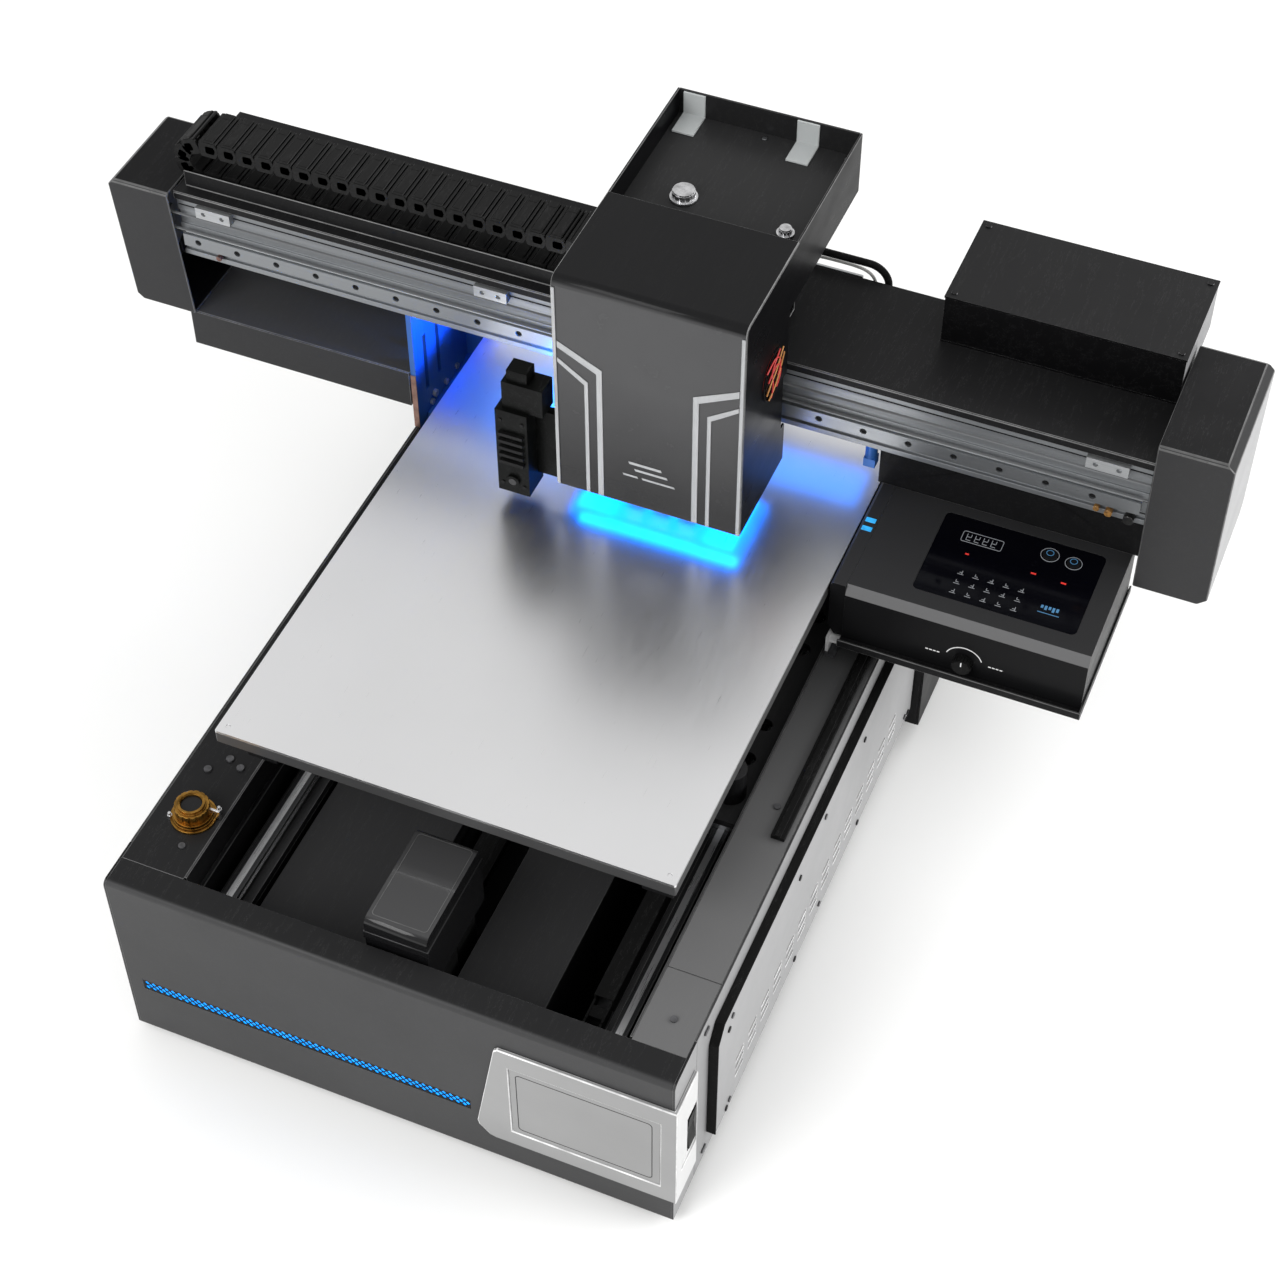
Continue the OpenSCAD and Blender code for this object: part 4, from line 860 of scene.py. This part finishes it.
# pale hose that runs inside the black cable loop, and the plate behind it
loop_y = (LOOP_LOW.y + LOOP_HIGH.y) / 2 + 1
tube("pale_hose", [(112, loop_y, 560), (112, loop_y, 600), (116, loop_y, 622), (140, loop_y, 629),
                   (170, loop_y, 629), (200, loop_y, 629), (222, loop_y, 622), (227, loop_y, 600),
                   (227, loop_y, 560)], 2.2, CREAM, "base")
mesh = bmesh.new()
box(mesh, 136, 206, loop_y - 3, loop_y + 1, 560, 616)
for px in (146, 196):
    rod(mesh, "Y", loop_y - 4.5, loop_y - 3, px, 606, 3, 8)
piece("loop_plate", mesh, BLOCK, "base", 0.0006)

# ---------------------------------------------------------------- print head details
mesh = bmesh.new()
for i in range(3):
    x0 = HEADS_LOW.x + 4 + i * 36
    box(mesh, x0 + 2, x0 + 20, HEADS_LOW.y + 12, HEADS_HIGH.y - 12, HEADS_LOW.z - 0.5, HEADS_LOW.z - 0.1)
piece("nozzle_plates", mesh, STEEL, "carriage", 0.0002)

mesh = bmesh.new()
inset = 11
band(mesh, rounded_outline(HOOD_LOW.x + inset, HOOD_HIGH.x - inset, HOOD_LOW.y + 20, HOOD_HIGH.y - 8, 6),
     rounded_outline(HOOD_LOW.x + inset + 0.9, HOOD_HIGH.x - inset - 0.9, HOOD_LOW.y + 20.9,
                     HOOD_HIGH.y - 8.9, 5.2), "Z", HOOD_HIGH.z - 0.5, HOOD_HIGH.z - 0.02)
piece("hood_top_line", mesh, PLASTIC, "carriage", 0)

# plain bars where the front carries a printed mark
mesh = bmesh.new()
for x0, x1, z0, z1 in ((HEAD_MID - 26, HEAD_MID + 18, 534, 538), (HEAD_MID - 18, HEAD_MID + 26, 524, 527.5),
                       (HEAD_MID - 34, HEAD_MID - 14, 512, 515), (HEAD_MID - 8, HEAD_MID + 36, 512, 515)):
    prism(mesh, [(x0 + 1.5, z0), (x1 + 1.5, z0), (x1, z1), (x0, z1)][::-1], "Y",
          HOOD_LOW.y - 0.5, HOOD_LOW.y - 0.1)
piece("front_marks", mesh, TRIM, "carriage", 0)

mesh = bmesh.new()
sx0, sx1 = SENSOR_LOW.x, SENSOR_LOW.x + 44
for i in range(5):
    box(mesh, sx0 + 5, sx1 - 5, SENSOR_LOW.y - 1.2, SENSOR_LOW.y + 3.8, 500 + i * 12, 505 + i * 12)
for z in (462, 572):
    for x in (sx0 + 7, sx1 - 7):
        rod(mesh, "Y", SENSOR_LOW.y + 2.6, SENSOR_LOW.y + 5.4, x, z, 2.6, 10)
piece("sensor_ribs", mesh, PLASTIC, "carriage", 0.0004)
mesh = bmesh.new()
rod(mesh, "Y", SENSOR_LOW.y - 0.4, SENSOR_LOW.y + 0.3, SENSOR_LOW.x + 22, 470, 5.5, 24)
piece("sensor_lens", mesh, GLASS, "carriage", 0.0003)
mesh = bmesh.new()
for x in (HOOD_LOW.x + 14, HEAD_MID, HOOD_HIGH.x - 14):
    for y in (HOOD_HIGH.y + 14, TRAY_HIGH.y - 14):
        rod(mesh, "Z", TRAY_LOW.z + 55.1, TRAY_LOW.z + 56.6, x, y, 3.4, 12)
piece("tray_screws", mesh, STEEL, "carriage", 0.0003)

# red and amber wires seen through the fan guard, given a painted glow
fan_y, fan_z = 786, 655
guard_x = HOOD_HIGH.x + 3.4
for i, (points, glow) in enumerate((
        (((-30, 26), (-12, 34), (8, 28), (20, 10), (10, -8)), ORANGE),
        (((-24, 6), (-6, 20), (14, 14), (22, -10), (6, -24)), ORANGE),
        (((-28, -12), (-16, 4), (2, 0), (12, 22), (26, 26)), AMBER),
        (((-12, -28), (-4, -10), (-20, 12), (-8, 26), (14, 32)), ORANGE),
        (((-20, -26), (4, -18), (20, -2), (26, 18)), AMBER))):
    tube("fan_wire_%d" % i, [(guard_x + (1.4 if n % 2 else 0), fan_y + a, fan_z + b)
                             for n, (a, b) in enumerate(points)],
         1.0, glow, "carriage")

# ---------------------------------------------------------------- control unit details
top = GLASS_HIGH.z
BUTTONS = (("a", 545, 836, 12.2), ("b", 577, 833, 11.2))
white = bmesh.new()
red = bmesh.new()
blue = bmesh.new()


def mark(mesh, x0, x1, y0, y1, raised=0.3):
    """A printed bar that stands a hair above the glass."""
    box(mesh, x0, x1, y0, y1, top + 0.02, top + raised)


def frame_line(mesh, x0, x1, y0, y1, radius, wide=1.0):
    band(mesh, rounded_outline(x0, x1, y0, y1, radius),
         rounded_outline(x0 + wide, x1 - wide, y0 + wide, y1 - wide, max(0.4, radius - wide)),
         "Z", top + 0.02, top + 0.35)


frame_line(white, 431, 485, 817, 836, 3, 0.7)
for i in range(4):
    for x0, x1, y0, y1 in ((0, 6.4, 820.4, 821.3), (0, 6.4, 826.2, 827), (0, 0.8, 820.4, 832),
                           (5.6, 6.4, 826.2, 832)):
        mark(white, 437 + i * 11 + x0, 437 + i * 11 + x1, y0, y1)
for name, x, y, r in BUTTONS:
    band(white, circle(x, y, r, 28), circle(x, y, r - 0.8, 28), "Z", top + 0.02, top + 0.35)
for i in range(5):
    for j in range(3):
        x, y = 445 + i * 20, 725 + j * 17
        mark(white, x + 1, x + 9, y + 1, y + 1.8)
        mark(white, x + 3, x + 7, y + 4, y + 4.8)
        if (i + j) % 2:
            mark(white, x + 3, x + 3.8, y + 4, y + 8)
        else:
            mark(white, x + 6, x + 6.8, y + 2, y + 8)
for x, y, w in ((535, 797, 3.4), (575, 795, 3.4), (447, 797, 2.4)):
    mark(red, x - w, x + w, y - 1.2, y + 1.2, 0.4)
# the ring marks ride on the buttons, which move on their own
for name, x, y, r in BUTTONS:
    ring = bmesh.new()
    band(ring, circle(x, y, 5, 20), circle(x, y, 4.2, 20), "Z", top + 3.9, top + 4.1)
    piece("button_ring_" + name, ring, BLUE_MARK, "button_" + name, 0)
for x, tall in ((560, 5), (565, 7), (570, 5), (575, 8), (580, 6)):
    mark(blue, x, x + 3.2, 750 - tall, 750)
mark(blue, 558, 586, 737, 738)
knob_x = (KNOB_LOW.x + KNOB_HIGH.x) / 2
knob_z = (KNOB_LOW.z + KNOB_HIGH.z) / 2
SCALE_START, SCALE_TURN = math.radians(20), math.radians(140)
scale = bmesh.new()
arc = circle(knob_x, knob_z, 25, 24, SCALE_START, SCALE_TURN)
arc_in = circle(knob_x, knob_z, 23.8, 24, SCALE_START, SCALE_TURN)
prism(scale, arc + arc_in[::-1], "Y", BODY_LOW.y - 0.5, BODY_LOW.y - 0.1)
for side in (-1, 1):
    for i in range(4):
        x0 = knob_x + side * (34 + 5 * i)
        box(scale, x0 - 1.8, x0 + 1.8, BODY_LOW.y - 0.5, BODY_LOW.y - 0.1, knob_z + 3, knob_z + 4.4)
pointer = bmesh.new()
box(pointer, knob_x - 0.7, knob_x + 0.7, KNOB_LOW.y - 0.3, KNOB_LOW.y + 0.2, knob_z + 3, knob_z + 10)
piece("knob_pointer", pointer, SCALE_MARK, "knob", 0)
piece("knob_scale", scale, SCALE_MARK, "base", 0)
marks_white = piece("panel_white_marks", white, WHITE_MARK, "base", 0)
piece("panel_red_marks", red, RED_MARK, "base", 0)
piece("panel_blue_marks", blue, BLUE_MARK, "base", 0)
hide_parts("panel_marks")

# ---------------------------------------------------------------- floor, light and camera
floor_mesh = bmesh.new()
FLOOR_HALF = 30
FLOOR_DROP = 0.0005
for x, y in ((-1, -1), (1, -1), (1, 1), (-1, 1)):
    floor_mesh.verts.new((x * FLOOR_HALF, y * FLOOR_HALF, cad_bounds[0][2] - FLOOR_DROP))
floor_mesh.faces.new(floor_mesh.verts)
floor_data = bpy.data.meshes.new("floor")
floor_mesh.to_mesh(floor_data)
floor = bpy.data.objects.new("floor", floor_data)
scene.collection.objects.link(floor)
ground = Surface("pale_floor", 0.85)
ground.colour(ground.mix(ground.noise(0.6, 3), (0.93, 0.93, 0.92), (0.96, 0.96, 0.955)))
floor_data.materials.append(ground.material)

scene.view_settings.view_transform = "Standard"
world = bpy.data.worlds.new("studio")
world.use_nodes = True
world.node_tree.nodes["Background"].inputs["Color"].default_value = (1.0, 1.0, 1.0, 1.0)
world.node_tree.nodes["Background"].inputs["Strength"].default_value = 0.8
scene.world = world


def area(name, place, aim, wide, tall, power, colour=(1, 1, 1), body=None):
    data = bpy.data.lights.new(name, "AREA")
    data.shape = "RECTANGLE"
    data.size = wide
    data.size_y = tall
    data.energy = power
    data.color = colour
    obj = bpy.data.objects.new(name, data)
    scene.collection.objects.link(obj)
    obj.location = place
    obj.rotation_euler = (Vector(aim) - Vector(place)).to_track_quat("-Z", "Y").to_euler()
    if body:
        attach(obj, body)
    return obj


area("key_light", (-1.3, -3.0, 2.7), (0, -0.2, 0.3), 2.4, 2.2, 90)
area("side_light", (3.4, 0.6, 1.6), (0.3, -0.2, 0.3), 2.0, 1.6, 70)
area("back_light", (1.2, 3.2, 2.8), (0, 0, 0.5), 2.4, 1.4, 34)
BLUE = (0.0, 0.2, 1.0)
for name, x, y, z, wide, deep, power in (
        ("lamp_light", HEAD_MID, 757, 441, 0.22, 0.1, 0.3),
        ("lamp_light_front", HEAD_MID + 10, 700, 450, 0.22, 0.02, 0.12),
        ("lamp_light_rear", HEAD_MID - 30, 905, 470, 0.5, 0.07, 0.2)):
    area(name, at(x, y, z), at(x, y, z - 100), wide, deep, power, BLUE, "carriage")

area("lamp_spill", at(HEAD_MID - 190, 900, 500), at(HEAD_MID - 400, 905, 470), 0.16, 0.1, 5.0,
     BLUE, "carriage")

CAMERA_PLACE = (0.9709, -2.1380, 2.8370)
CAMERA_TURN = (41.523, 0.143, 22.783)
CAMERA_LENS = 72.715
camera_data = bpy.data.cameras.new("camera")
camera_data.sensor_width = 36.0
camera_data.lens = CAMERA_LENS
camera_data.clip_end = 100
camera = bpy.data.objects.new("camera", camera_data)
scene.collection.objects.link(camera)
camera.location = CAMERA_PLACE
camera.rotation_euler = [math.radians(a) for a in CAMERA_TURN]
scene.camera = camera

bpy.context.view_layer.update()
